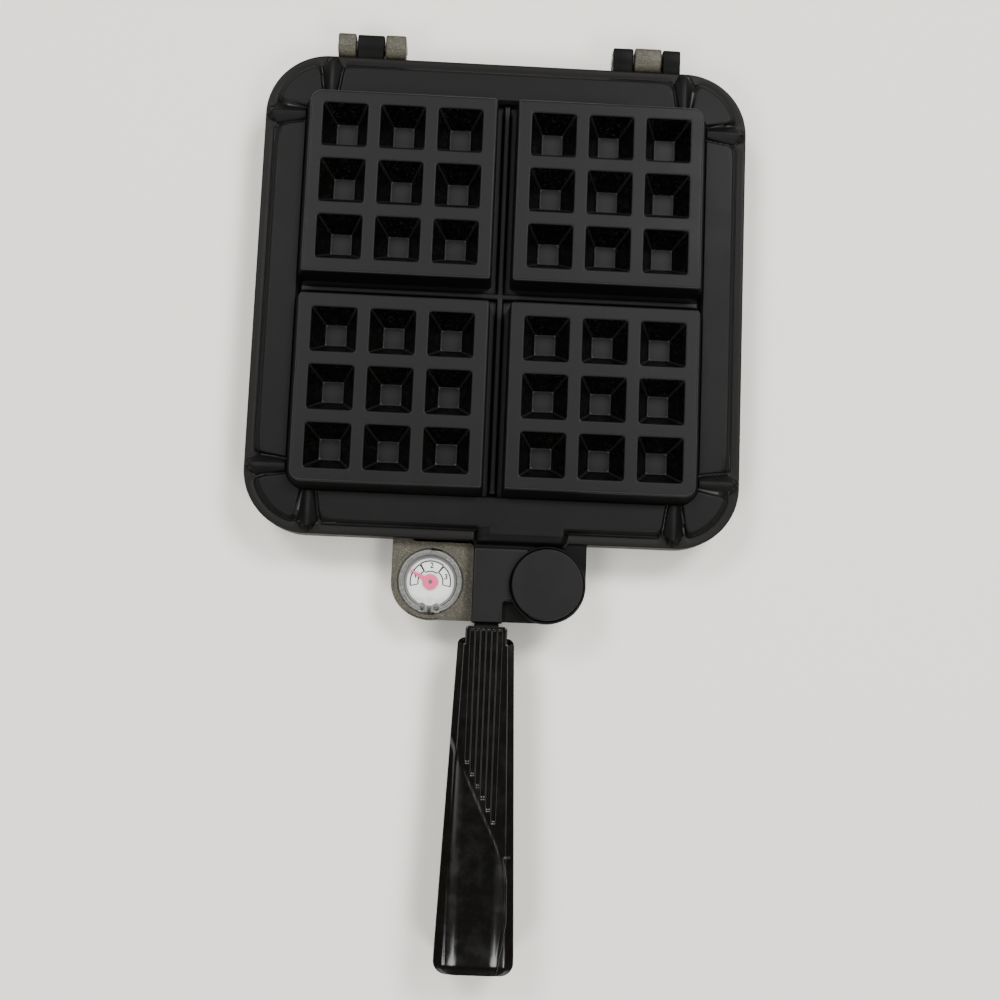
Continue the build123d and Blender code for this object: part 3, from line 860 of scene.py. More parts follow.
    def inside(self) -> Sheet:
        """The four cavities with their pegs, open at the parting plane.

        Points beyond the round corners of the plate are pulled in to the corner's circle.
        """
        rim, (tip, root) = self.pitch / 2, self.peg_radii
        peg = Profile.rounded([(0, self.peg_level, 0), (self.peg_tip, self.peg_level, tip),
                               (self.peg_root, self.ceiling, root), (rim, self.ceiling, 0)],
                              2, 0.25, 1.6)
        rise = self.cavity_slope * (self.ceiling - self.seal)
        (near, far), (mouth, roof) = self.cavity, self.cavity_radii
        wall = Profile.rounded(
            [(0, self.seal, 0), (near, self.seal, mouth), (near + rise, self.ceiling, roof),
             (far - rise, self.ceiling, roof), (far, self.seal, mouth),
             (self.base, self.seal, 0)], 3)
        lines = (self.spots()[:, None] + np.concatenate([-peg.distance, peg.distance])).ravel()
        side = np.unique(np.round(np.concatenate([lines, wall.distance]), 2))
        side = side[np.concatenate([[True], np.diff(side) > self.closest_lines])]
        lines = np.concatenate([-side[:0:-1], side])

        def height(x: Array, y: Array) -> Array:
            """The lower of the cavity's walls and the pegs."""
            x, y = np.abs(x), np.abs(y)
            spots = self.spots()
            dx = np.abs(x[..., None] - spots).min(-1)
            dy = np.abs(y[..., None] - spots).min(-1)
            pegs = peg.at(square_distance(dx, dy, self.peg_corner))
            return np.minimum(np.minimum(wall.at(x), wall.at(y)), pegs)

        sheet = tensor(lines, height).turned_over()
        over = np.maximum(np.abs(sheet.points[:, :2]) - self.round_centre, 0)
        far = np.hypot(over[:, 0], over[:, 1])
        pull = np.minimum(1, (self.base - self.round_centre) / np.maximum(far, 1e-9))[:, None]
        inside = np.abs(sheet.points[:, :2]) - over
        sheet.points[:, :2] = np.sign(sheet.points[:, :2]) * (inside + over * pull)
        return sheet

    def build(self, half: Half) -> None:
        """Makes the lattice's outside and its inside."""
        outside = self.wells() + [self.frame()]
        sheets = [copy for sheet in outside for copy in quartered(sheet)]
        make_piece(half.node("blocks"), half, sheets + [self.channels()],
                   [BLACK, WORN, WALL_SHADE_GLINT], [half.node("plate")])
        make_piece(half.node("cavities"), half, [self.inside()], [PEWTER],
                   [half.node("plate")])


def square_distance(x: Array, y: Array, radius: float) -> Array:
    """Half size of the rounded square about the origin that passes through each point.

    Beside a flat side it is the larger coordinate; round a corner of radius r it is
    r + (x + y - sqrt(2 r^2 - (x - y)^2)) / 2.
    """
    high, low = np.maximum(x, y), np.minimum(x, y)
    gap = np.clip(high - low, 0, radius)
    round_off = radius + (high + low - np.sqrt(2 * radius ** 2 - gap ** 2)) / 2
    return np.where(high - low < radius, round_off, high)


@dataclass(frozen=True)
class Border:
    """Rim, raised pads and leaf ridges round the lattice, with the shoulder pad at the neck.

    worn_foot and the two fields after it say between which shares of a pad's width lie its
    worn foot, its painted shade above the foot and its painted shade at the shoulder.  The two
    fields after leaf_sink give half the width of the painted highlight line round a leaf, and
    the middle and half width of the painted shade line round its tip.
    """

    half: float = 108.5
    centre: float = 80.5
    inner: float = 89.95
    rim: float = 4.0
    rim_level: float = 6.0
    rim_edge: float = 0.9
    pad_level: float = 9.5
    pad_edge: float = 3.2
    pad_steep: float = 1.9
    pad_groove: tuple[float, float] = (0.4, 0.25)
    pad_corner: float = 6.0
    worn_foot: tuple[float, float] = (0.06, 0.2)
    pad_shade: tuple[float, float] = (0.2, 0.5)
    shoulder_shade: tuple[float, float] = (0.02, 0.7)
    leaf_line: float = 79.5
    leaf_tip: float = 107.7
    leaf_wide: float = 102.9
    leaf_root: float = 2.9
    leaf_half: float = 4.9
    leaf_level: float = 10.3
    leaf_slope: float = 0.72
    leaf_crest: float = 0.8
    leaf_bow: float = 0.8
    leaf_rise: float = 0.9
    leaf_fall: float = 99.0
    leaf_sink: float = 1.25
    leaf_highlight_half: float = 0.18
    tip_shade: tuple[float, float] = (0.1, 0.3)
    valley: float = -0.4
    groove: float = 1.2
    shoulder: tuple[float, float] = (-6.75, 34.0)
    shoulder_end: float = 110.0
    shoulder_radii: tuple[float, float] = (0.6, 5.0)
    seal: float = 0.12
    gutter: tuple[float, float, float] = (92.5, 101.5, 6.2)

    def outline(self) -> BoxOutline:
        """Points along the border: close together at the leaves, the corners and the neck.

        A corner's points are counted in degrees of its turn, and a side's in millimetres from
        its middle.
        """
        degrees = np.concatenate([np.arange(0, 22, 1.4), np.linspace(22, 68, 20),
                                  np.arange(70, 90, 3)])
        leaf = np.arange(73.4, self.centre, 0.34)
        neck = np.concatenate([np.arange(-9.2, -4.4, 0.4), np.arange(28, 36, 0.45)])
        side = np.concatenate([-leaf, np.linspace(-72, 72, 25), leaf, neck, -neck])
        side = np.unique(np.round(side, 3))
        return BoxOutline(np.unique(degrees) / 90, (side[::-1] * -1 + self.centre)
                          / (2 * self.centre))

    def leaf(self, across: Array, out: Array) -> tuple[Array, Array]:
        """One leaf.

        Its half width grows from root to widest as a gentle bow and then runs straight to
        the tip.  Across it the ridge is a hyperbola, a roof with an eased crest, and it sinks
        towards the tip.

        Args:
            across: distance of each point from the leaf's centre line.
            out: distance of each point from the plate's centre line.

        Returns:
            Distance outside the leaf's outline, and the level of the leaf's ridge.
        """
        grown = np.clip((out - self.inner) / (self.leaf_wide - self.inner), 0, 1)
        bowed = self.leaf_root + (self.leaf_half - self.leaf_root) * grown ** self.leaf_bow
        narrowed = self.leaf_half * (self.leaf_tip - out) / (self.leaf_tip - self.leaf_wide)
        gap = across - np.where(out < self.leaf_wide, bowed, narrowed)
        slope = self.leaf_half / (self.leaf_tip - self.leaf_wide)
        gap = gap / np.where(out < self.leaf_wide, 1, math.hypot(1, slope))
        crest = self.leaf_level - self.leaf_slope * (
            np.hypot(across, self.leaf_crest) - self.leaf_crest)
        sink = np.clip((out - self.leaf_fall) / (self.leaf_tip - self.leaf_fall), 0, 1) ** 2
        crest = crest - sink * self.leaf_sink
        base = self.rim_level
        rise = np.clip(-gap / self.leaf_rise, 0, 1)
        return gap, base + (crest - base) * np.sqrt(1 - (1 - rise) ** 2)

    def height(self, x: Array, y: Array, size: Array) -> tuple[Array, Array]:
        """Level of the border's top, and the finish that it wears.

        A pad rises over a fixed width from its edge as half a parabola, with a shallow groove
        (a bell curve) along its foot.  Its edge keeps a rim's width inside the plate's outline
        and a valley's width off the leaves, and the corners between the two are rounded.

        Args:
            x: x of each point.
            y: y of each point.
            size: half size of the ring that each point lies on.

        Returns:
            The levels, and a finish number: 2 on a pad's worn foot, 3 on the painted highlight
            line round a leaf, 4 on painted shade above a foot, at the shoulder and round a
            leaf's tip.
        """
        far, near = np.maximum(np.abs(x), np.abs(y)), np.minimum(np.abs(x), np.abs(y))
        gap, ridge = self.leaf(np.abs(near - self.leaf_line), far)
        other, second = self.leaf(np.abs(far - self.leaf_line), near)
        ridge = np.where(other < gap, second, ridge)
        gap = np.minimum(gap, other)
        within = self.half - self.rim - size
        pad = rounded_least(within, (gap - self.valley) * self.pad_steep, self.pad_corner)
        low, high = self.shoulder
        side, corner = self.shoulder_radii
        neck = rounded_least(rounded_least(high - x, self.shoulder_end + 0.4 + y, corner),
                             x - low + 0.4, side)
        neck = np.where(y < -self.inner, neck, -1)
        edge = np.maximum(pad, neck)
        inside = np.clip(edge / self.pad_edge, 0, 1)
        depth, reach = self.pad_groove
        level = self.rim_level + (self.pad_level - self.rim_level) * (1 - (1 - inside) ** 2)
        level = level - depth * np.exp(-((edge + 0.15) / reach) ** 2)
        worn = between(inside, self.worn_foot) & (within < gap)
        # A pale line round each leaf paints its edge highlight.
        highlit = (np.abs(gap) < self.leaf_highlight_half) & (within > 0)
        # Darker stretches above a pad's foot, at the shoulder and round a leaf's tip paint shade.
        shaded = between(inside, self.pad_shade) & (within < gap)
        shaded |= (neck > pad) & between(inside, self.shoulder_shade)
        shaded |= (np.abs(gap - self.tip_shade[0]) < self.tip_shade[1]) & (within < -self.tip_shade[0])
        finish = np.select([highlit, shaded, worn], [3, 4, 2], 0)
        return np.where(gap < 0, np.maximum(ridge, level), level), finish

    def surface(self) -> Sheet:
        """The whole border as one closed ring: underneath, side, top and inner wall."""
        angle = np.linspace(0, math.pi / 2, 6)
        edge = self.half - self.rim_edge * (1 - np.cos(angle))
        drop = self.rim_edge * (1 - np.sin(angle))
        rim_start = self.half - self.rim
        top = np.concatenate([
            [self.half - self.rim_edge - 0.3, rim_start + 0.8],
            np.arange(rim_start + 0.2, rim_start - self.pad_edge - 0.1, -0.2),
            np.arange(rim_start - self.pad_edge - 0.3, rim_start - 8, -0.5),
            np.arange(rim_start - 8, self.inner + 0.6, -0.9),
            self.inner + np.array([0.25, 0.0, 0.0, -0.7])])
        inner, outer, ceiling = self.gutter
        under = np.array([(self.inner - 0.7, self.seal), (inner - 0.3, self.seal),
                          (inner, self.seal), (inner + 0.2, ceiling - 0.8),
                          (inner + 1.0, ceiling),
                          (outer - 1.0, ceiling), (outer - 0.2, ceiling - 0.8),
                          (outer, self.seal), (outer + 0.3, self.seal),
                          (self.half - 0.7, self.seal), (self.half - 0.4, self.seal),
                          (self.half, self.seal + 0.4), (self.half, self.seal + 0.8)])
        size = np.concatenate([under[:, 0], edge, top])
        rings = self.outline().squares(size, size - self.centre)
        x, y = rings[..., 0], rings[..., 1]
        size = np.broadcast_to(size[:, None], x.shape)
        low, high = self.shoulder
        reach = np.clip((size - rim_start) / self.rim, 0, 1)
        at_neck = np.clip(rounded_least(x - low, high - x, 0.5) / 1.0, 0, 1) * (y < -self.inner)
        y = y - (self.shoulder_end - self.half) * reach * at_neck
        level, top_finish = self.height(x, y, np.minimum(size, self.half - self.rim_edge))
        side = slice(len(under), len(under) + len(drop))
        level[:len(under)] = under[:, 1:]
        level[-2:] = self.pad_level - self.groove
        level[side] -= drop[:, None] * (1 - at_neck[side])
        below = np.repeat(np.arange(len(size)) < len(under) - 2, size.shape[1])
        finish = np.where(below, 1, top_finish.ravel())
        return grid_sheet(np.stack([x, y, level], 2), True, True, finish)

    def build(self, half: Half) -> None:
        """Makes the border."""
        make_piece(half.node("border"), half, [self.surface()],
                   [BORDER, PEWTER, WORN, LEAF_HIGHLIGHT, PAINTED_SHADE], [half.node("plate")])


def between(value: Array, limits: tuple[float, float]) -> Array:
    """Where a value lies strictly between two limits."""
    return (value > limits[0]) & (value < limits[1])


def rounded_least(first: Array, second: Array, radius: float) -> Array:
    """The smaller of two distances from edges, with the corner between the edges rounded.

    Where both are below the radius r it is r - sqrt((r - first)^2 + (r - second)^2).
    """
    inside = radius - np.hypot(np.maximum(radius - first, 0), np.maximum(radius - second, 0))
    return np.where((first < radius) & (second < radius), inside, np.minimum(first, second))


@dataclass(frozen=True)
class Arm:
    """Neck, tang, ear and gauge housing on the handle's side of the plate.

    rims holds the radii of the lower and the upper edge of the neck and the ear.
    """

    rims: tuple[float, float] = (0.3, 0.9)
    neck: float = 6.75
    neck_end: float = 143.8
    neck_level: float = 8.0
    neck_corner: float = 1.0
    web_corner: float = 0.8
    tang: float = 5.25
    tang_end: float = 202.0
    tang_level: tuple[float, float] = (0.22, 5.0)
    ear_reach: float = 42.4
    ear_end: float = 143.3
    ear_level: float = 4.6
    ear_corner: float = 16.1
    start: float = 106.8
    trench_end: float = 111.6
    trench_level: float = 6.1
    trench_lap: float = 1.5
    trench_rims: tuple[float, float] = (0.3, 0.2)
    blunt: float = 1.9
    web_end: float = 134.6
    gauge: tuple[float, float] = (25.3, -126.7)
    housing: float = 16.9
    housing_level: float = 7.9
    bore: float = 14.5
    groove: tuple[float, float, float] = (0.6, 0.6, 1.6)
    ledge: float = 5.8
    coil_room: tuple[float, float] = (12.8, 9.0)
    disc: float = 15.4
    disc_level: float = 12.0
    hole: float = 16.2
    housing_foot: float = 4.3
    seal: float = 0.12
    foot: float = 3.5
    foot_level: float = 5.2

    def bar(self) -> list[Sheet]:
        """Neck with the web to the gauge housing, and the lower trench between it and the plate.

        The web follows the housing's disc, and ends short of the trench by a blunt edge that
        leaves room for its rounded rim.
        """
        x, y = self.gauge
        near = self.disc + 0.1
        first = math.pi - math.asin((-self.web_end - y) / near)
        angle = np.linspace(first, math.pi / 2, 30)
        round_side = np.stack([x + near * np.cos(angle), y + near * np.sin(angle)], 1)
        before = filleted([(-self.neck, -self.neck_end, 0),
                           (self.neck, -self.neck_end, self.neck_corner),
                           (self.neck, -self.web_end, self.web_corner),
                           (*round_side[0], 0)], 4)
        round_side = round_side[round_side[:, 1] < -self.trench_end - self.blunt]
        rest = np.array([(round_side[-1, 0], -self.trench_end),
                         (-self.neck, -self.trench_end)])
        outline = np.concatenate([before, round_side[1:], rest])
        under = -self.trench_end - self.trench_lap
        root = np.array([(-self.neck, under), (x, under), (x, -self.start),
                         (-self.neck, -self.start)])
        bottom = self.seal + 0.02
        # The trench, in the second prism, wears finish 2, the darker coat that paints its shade.
        return (prism(outline, bottom, self.neck_level, self.rims)
                + prism(root, bottom, self.trench_level, self.trench_rims, 2))

    def tang_bar(self) -> list[Sheet]:
        """Flat tang between the handle halves."""
        corners = [(self.tang, -self.neck_end + 2, 0), (-self.tang, -self.neck_end + 2, 0),
                   (-self.tang, -self.tang_end, 1.0), (self.tang, -self.tang_end, 1.0)]
        return prism(filleted(corners, 3, True), *self.tang_level, (0.2, 0.2))

    def foot_piece(self) -> list[Sheet]:
        """Hollow fillet where the plate turns into the neck's free side."""
        angle = np.linspace(0, math.pi / 2, 9)
        side = -Border.half
        centre = np.array([-self.neck - self.foot, side - self.foot])
        arc = centre + self.foot * np.stack([np.cos(angle), np.sin(angle)], 1)
        corner = np.array([[centre[0], side + 1], [-self.neck + 1, side + 1],
                           [-self.neck + 1, centre[1]]])
        outline = np.concatenate([arc, corner])[::-1]
        return prism(outline, self.seal + 0.2, self.foot_level, (0.1, 0.5))

    def ear(self) -> Sheet:
        """Flat ear as rings about the gauge, from the hole's edge round to it again."""
        x, y = self.gauge
        corners = [(self.ear_reach, -self.ear_end, self.ear_corner),
                   (self.ear_reach, -self.start, 0.5), (0, -self.start, 0),
                   (0, -self.ear_end, 0)]
        line = filleted(corners, 24, True) - [x, y]
        angle = np.arctan2(line[:, 1], line[:, 0])
        turns = np.unique(np.concatenate([angle, np.linspace(-math.pi, math.pi, 145)[1:]]))
        unit = np.stack([np.cos(turns), np.sin(turns)], 1)
        outline = np.maximum(self.cut(line, unit), self.housing)
        bend = np.linspace(0, math.pi / 2, 5)
        rims, hold = self.rims, 0.3
        inset = np.concatenate([[rims[0] + hold], rims[0] * (1 - np.cos(bend[::-1])),
                                rims[1] * (1 - np.cos(bend)), [rims[1] + hold]])
        level = np.concatenate([[self.seal], self.seal + rims[0] * (1 - np.sin(bend[::-1])),
                                self.ear_level - rims[1] * (1 - np.sin(bend)),
                                [self.ear_level]])
        rings = (outline - inset[:, None])[..., None] * unit
        hole = np.array([self.hole, self.hole + hold])[:, None, None] * unit
        rings = np.concatenate([hole, rings, hole[::-1]]) + [x, y]
        level = np.concatenate([[self.seal] * 2, level, [self.ear_level] * 2])
        # The seal side and the ear's side wear pewter; its upper rim, outer face and the hole's
        # wall wear the darker coat that paints shade.
        below = 3 + len(bend)
        finish = np.repeat(np.where(np.arange(len(level)) < below, 1, 2), len(unit))
        return grid_sheet(levelled(rings, level), True, True, finish)

    @staticmethod
    def cut(line: Array, unit: Array) -> Array:
        """Distance from the origin to a closed line of points along each unit direction.

        With edge ends a and b and a direction u the distance is a x (b - a) / u x (b - a),
        for the edge whose ends lie on either side of u.
        """
        after = np.roll(line, -1, axis=0)
        edge = after - line
        top = line[:, 0] * edge[:, 1] - line[:, 1] * edge[:, 0]
        low = unit[:, :1] * edge[:, 1] - unit[:, 1:] * edge[:, 0]
        side = unit[:, :1] * line[:, 1] - unit[:, 1:] * line[:, 0]
        next_side = unit[:, :1] * after[:, 1] - unit[:, 1:] * after[:, 0]
        hit = (side <= 1e-9) & (next_side >= -1e-9) & (np.abs(low) > 1e-9)
        distance = np.where(hit, top / np.where(np.abs(low) > 1e-9, low, 1), np.inf)
        return np.where(distance > 0, distance, np.inf).min(1)

    def housing_piece(self) -> Sheet:
        """Round housing with the stepped bore of the gauge, the disc on it, as one turning.

        The bore has a groove for the snap ring and a ledge for the dial over the coil's room.
        """
        (coil, depth), (reach, near, far) = self.coil_room, self.groove
        bore, ledge = self.bore, self.ledge
        step = filleted([(coil, depth, 0), (coil, ledge, 0.15), (bore, ledge, 0.1),
                         (bore, far, 0), (bore + reach, far, 0), (bore + reach, near, 0),
                         (bore, near, 0), (bore, self.seal, 0.25), (self.hole, self.seal, 0),
                         (self.hole, self.housing_foot, 0),
                         (self.housing, self.housing_foot, 0),
                         (self.housing, self.housing_level, 1.0),
                         (self.disc + 0.6, self.housing_level, 0.2),
                         (self.disc, self.housing_level - 0.9, 0.1),
                         (self.disc, self.disc_level, 0.6), (0, self.disc_level, 0)], 4)
        line = np.concatenate([[(0, depth)], step])
        line = line[np.concatenate([[True], np.hypot(*np.diff(line, axis=0).T) > 1e-6])]
        held = Profile.rounded([(*spot, 0) for spot in line], 1, 0.2)
        rows = np.stack([held.distance, held.level], 1)
        rows[:, 0] = np.maximum(rows[:, 0], 0)
        turns, bore_rows = 96, 12
        bare = (rows[1:, 1] < self.seal + 0.3) | (np.arange(len(rows) - 1) < bore_rows)
        return revolved(rows, self.gauge, turns, np.repeat(bare, turns).astype(int))

    def build(self, half: Half) -> None:
        """Makes the arm and the housing."""
        sheets = [*self.bar(), *self.tang_bar(), *self.foot_piece(), self.ear(),
                  self.housing_piece()]
        make_piece(half.node("arm"), half, sheets, [BLACK, PEWTER, PAINTED_SHADE],
                   [half.node("plate")])


@dataclass(frozen=True)
class Knuckles:
    """Hinge knuckles of one casting: round towards the plates and square behind."""

    radius: float = 6.2
    back: float = 4.7
    out: float = 5.4
    corner: float = 1.6
    rim: float = Border.half
    seal: float = 0.14
    edge: float = 0.8
    spans: tuple[tuple[float, float], ...] = ((-69.2, -57.0), (47.2, 56.4), (69.8, 77.9))

    def outline(self) -> Array:
        """Section in y and z, anticlockwise from the casting's edge along the underside."""
        y, arm = HINGE_Y, self.rim - 1.5
        behind = filleted([(y, -self.radius, 0), (y + self.back, -self.radius, self.corner),
                           (y + self.back, self.out, self.corner), (arm, self.out, 0)], 5)
        turn = np.radians(np.linspace(-178, -90, 14))
        arc = np.stack([y + self.radius * np.cos(turn), self.radius * np.sin(turn)], 1)
        under = np.array([[arm, self.seal], [y - self.radius, self.seal]])
        return np.concatenate([under, arc, behind[1:]])

    def build(self, half: Half) -> None:
        """Makes the three knuckles."""
        finish = HINGE if half is Half.UPPER else PEWTER
        sheets = [to_x(sheet) for span in self.spans
                  for sheet in prism(self.outline(), *span, (self.edge, self.edge))]
        make_piece(half.node("knuckles"), half, sheets, [finish],
                   [half.node("plate")])


def signed_area(outline: Array) -> float:
    """Area inside a closed outline, below zero where it runs clockwise."""
    after = np.roll(outline, -1, axis=0)
    return float((outline[:, 0] * after[:, 1] - outline[:, 1] * after[:, 0]).sum() / 2)


# ---- handle -------------------------------------------------------------------------------
@dataclass(frozen=True)
class Handle:
    """Moulded handle half: flutes behind the nose, and a raised palm pad at its end.

    The four fields after pad_corner bound the stretches painted with highlights, and
    bevel_shape is the section of the body's bevel: places, drops and radii of its corners.
    """

    root: float = 145.5
    shoulder: float = 150.5
    end: float = 290.0
    gap: float = 0.4
    nose: float = 9.0
    nose_edge: float = 0.8
    half_widths: tuple[float, float] = (11.85, 17.0)
    levels: tuple[float, float] = (10.2, 14.0)
    bevels: tuple[float, float] = (2.9, 4.4)
    bevel_drop: float = 2.8
    bevel_shape: tuple[tuple[float, float, float], ...] = (
        (-1, 1.25, 0), (0, 0.92, 0.12), (0.86, 0.06, 0.5), (2, 0, 0))
    body_corners: tuple[float, float] = (1.0, 3.0)
    merge: float = 6.5
    merge_sink: float = 0.4
    corners: tuple[float, float] = (2.9, 6.0)
    flutes: int = 6
    pitch: float = 2.39
    flute_radius: float = 0.98
    flute_depth: float = 0.75
    flute_wall: tuple[float, float] = (0.8, 0.92)
    flute_edge: float = 0.08
    nose_corner: float = 1.6
    flute_start: float = 146.6
    sweep: tuple[tuple[float, float], tuple[float, float]] = ((-9.2, 200.0), (10.9, 241.0))
    flute_stop: float = 3.2
    rise: float = 0.38
    pad_bevel: float = 2.2
    pad_corner: float = 1.5
    highlight_nose: tuple[float, float] = (0.08, 0.4)
    highlight_flute: tuple[float, float] = (0.92, 1.08)
    highlight_pad: tuple[float, float] = (0.0, 0.3)
    highlight_notch: float = 0.45
    highlight_depth: float = 1.6
    sink: tuple[float, float] = (22.0, 1.1)
    crown: tuple[float, float, float] = (6.0, 12.0, 0.034)
    notch: tuple[float, float, float] = (241.4, 11.0, 13.9)
    bow: tuple[tuple[float, float, float], ...] = (
        (241, 10.9, 0), (250, 12.7, 24), (268, 13.2, 40), (286, 10.4, 0), (292, 9.4, 0))
    bow_start: float = 230.0

    def along(self, y: Array, ends: tuple[float, float]) -> Array:
        """A size that changes evenly from the root to the end."""
        return np.interp(y, [self.root, self.end], ends)

    def half_width(self, y: Array) -> Array:
        """Half width of the plan at each distance y towards the end."""
        ends = np.array([self.shoulder, self.end])
        radius = np.array(self.corners)
        over = np.maximum(radius - np.abs(y[..., None] - ends), 0)
        round_off = (radius - np.sqrt(radius ** 2 - over ** 2)).sum(-1)
        return np.where(y < self.shoulder, self.nose, self.along(y, self.half_widths) - round_off)

    def narrowing(self, y: Array) -> Array:
        """Share of the full width at each distance, below 1 at the nose's rounded corners."""
        radius = self.nose_corner
        short = np.maximum(self.root + radius - y, 0)
        return 1 - (radius - np.sqrt(radius ** 2 - short ** 2)) / self.nose

    def sweep_gap(self, x: Array, y: Array) -> Array:
        """Distance behind the diagonal front edge of the palm pad."""
        (x0, y0), (x1, y1) = self.sweep
        length = math.hypot(x1 - x0, y1 - y0)
        return ((y - y0) * (x1 - x0) - (x - x0) * (y1 - y0)) / length

    def pad(self, x: Array, y: Array) -> Array:
        """Distance inside the palm pad: behind its diagonal and left of its bowed edge."""
        side = Profile.rounded(self.bow, 5).at(y) - x
        side = np.where(y > self.bow_start, side, 99)
        return rounded_least(self.sweep_gap(x, y), side, self.pad_corner)

    def face(self, x: Array, y: Array) -> Array:
        """Level of the sloping top with the palm pad and the flutes, without its edges."""
        inside = np.clip(self.pad(x, y) / self.pad_bevel, 0, 1)
        start, stop, bend = self.crown
        rise = self.rise - bend * (np.clip(np.abs(x), start, stop) - start) ** 2
        level = self.along(y, self.levels) + rise * inside ** 2 * (3 - 2 * inside)
        length, depth = self.sink
        level = level - depth * np.clip((y - self.end + length) / length, 0, 1) ** 2
        return level - self.flute_depth * np.interp(
            self.flute_gap(x, y), [*self.flute_wall, 1.0], [1.0, self.flute_edge, 0.0])

    def flute_gap(self, x: Array, y: Array) -> Array:
        """Distance from the nearest flute's middle line, in flute radii."""
        (x0, y0), (x1, y1) = self.sweep
        last = (self.flutes - 1) / 2
        centre = np.clip(np.round(x / self.pitch + last), 0, 2 * last) * self.pitch
        centre = centre - last * self.pitch
        stop = y0 + (centre - x0) * (y1 - y0) / (x1 - x0) - self.flute_stop
        before = np.maximum(self.flute_start + self.flute_radius - y, 0)
        past = np.maximum(y - stop + self.flute_radius, 0)
        return np.hypot(x - centre, np.maximum(before, past)) / self.flute_radius

    def highlights(self, points: Array) -> Array:
        """Where highlights are painted: round the flutes, the nose's front edge and the pad's
        bowed edge.

        Args:
            points: rows by columns by 3 array of the closed sections, y still positive.

        Returns:
            One finish number for each quad between them, row by row.
        """
        middle = points[:-1] + points[1:]
        x, y, z = np.moveaxis((middle + np.roll(middle, -1, axis=1)) / 4, 2, 0)
        gap = self.flute_gap(x, y)
        inset = rounded_least(self.nose - np.abs(x), y - self.root, self.nose_corner)
        nose = between(inset, self.highlight_nose) & (y < self.shoulder)
        flute = between(gap, self.highlight_flute)
        spot, near, far = self.notch
        bow = between(self.pad(x, y), self.highlight_pad) & (y > spot) & (x > 0)
        notch = (np.abs(y - spot) < self.highlight_notch) & between(x, (near, far))
        # The flutes' edges, the nose's front edge, the pad's bowed edge and the notch wear the
        # paler phenolic that paints their highlights.
        lit_stretches = nose | flute | bow | notch
        return (lit_stretches & (z > self.levels[0] - self.highlight_depth)).astype(int).ravel()

    def body(self, x: Array, y: Array) -> Array:
        """Level of the body, whose edges are flat bevels with eased ridges."""
        at_ends, at_sides = self.body_corners
        ends = rounded_least(self.end - y, y - self.shoulder, at_ends)
        inset = rounded_least(self.half_width(y) - np.abs(x), ends, at_sides)
        bevel = self.along(y, self.bevels)
        drop = np.interp(inset / bevel, *self.bevel_line())
        return self.face(x, y) - self.bevel_drop * drop

    def bevel_line(self) -> tuple[Array, Array]:
        """Drop of the bevel across its width, both from 0 to 1, with its ends rounded."""
        line = Profile.rounded(self.bevel_shape, 6)
        return line.distance, line.level

    def front(self, x: Array, y: Array) -> Array:
        """Level of the nose: edges rounded as quarter circles, sinking into the body."""
        inset = rounded_least(self.nose - np.abs(x), y - self.root, self.nose_corner)
        short = np.clip(1 - inset / self.nose_edge, 0, 1)
        sunk = self.merge_sink * np.maximum((y - self.shoulder) / self.merge, 0) ** 2
        return self.face(x, y) - self.nose_edge * (1 - np.sqrt(1 - short ** 2)) - sunk

    def level(self, x: Array, y: Array) -> Array:
        """Level of the top: the nose, which runs into the body behind the shoulders."""
        body, front = self.body(x, y), self.front(x, y)
        return np.where(y < self.shoulder, front,
                        np.where(y < self.shoulder + self.merge, np.maximum(front, body), body))

    def side(self, y: Array, way: int) -> tuple[Array, Array]:
        """One side of each section, from the flutes' edge over the nose and the body.

        Args:
            y: column of distances towards the end.
            way: 1 for the right side and -1 for the left.

        Returns:
            x and z of the points of each row.
        """
        start, nose = self.flutes * self.pitch / 2, self.nose
        flat = start + (nose - self.nose_edge - start) * np.array([0, 0.1, 0.9, 1])
        rim = nose - self.nose_edge * np.array([0.75, 0.5, 0.25, 0.1, 0.0])
        x = np.concatenate([flat, rim]) * self.narrowing(y)
        nose = nose * self.narrowing(y)
        outer = np.maximum(self.half_width(y) * self.narrowing(y), nose)
        z = self.level(way * x, y)
        part = np.linspace(0, 1, 27)
        out = nose + (outer - nose) * part
        top = np.where(y < self.shoulder, self.face(way * out, y) - self.bevel_drop,
                       self.body(way * out, y))
        step = z[:, -1:] + (top[:, :1] - z[:, -1:]) * 0.5
        edge = out[:, -1:] + np.zeros(5)
        edge[:, 0] -= 0.06
        down = top[:, -1:] + (self.gap + 0.3 - top[:, -1:]) * np.array([0.03, 0.1, 0.5, 0.9, 1])
        under = edge[:, -1:] - 0.3
        return (way * np.concatenate([x, x[:, -1:], out, edge, under], 1),
                np.concatenate([z, step, top, down, under * 0 + self.gap], 1))

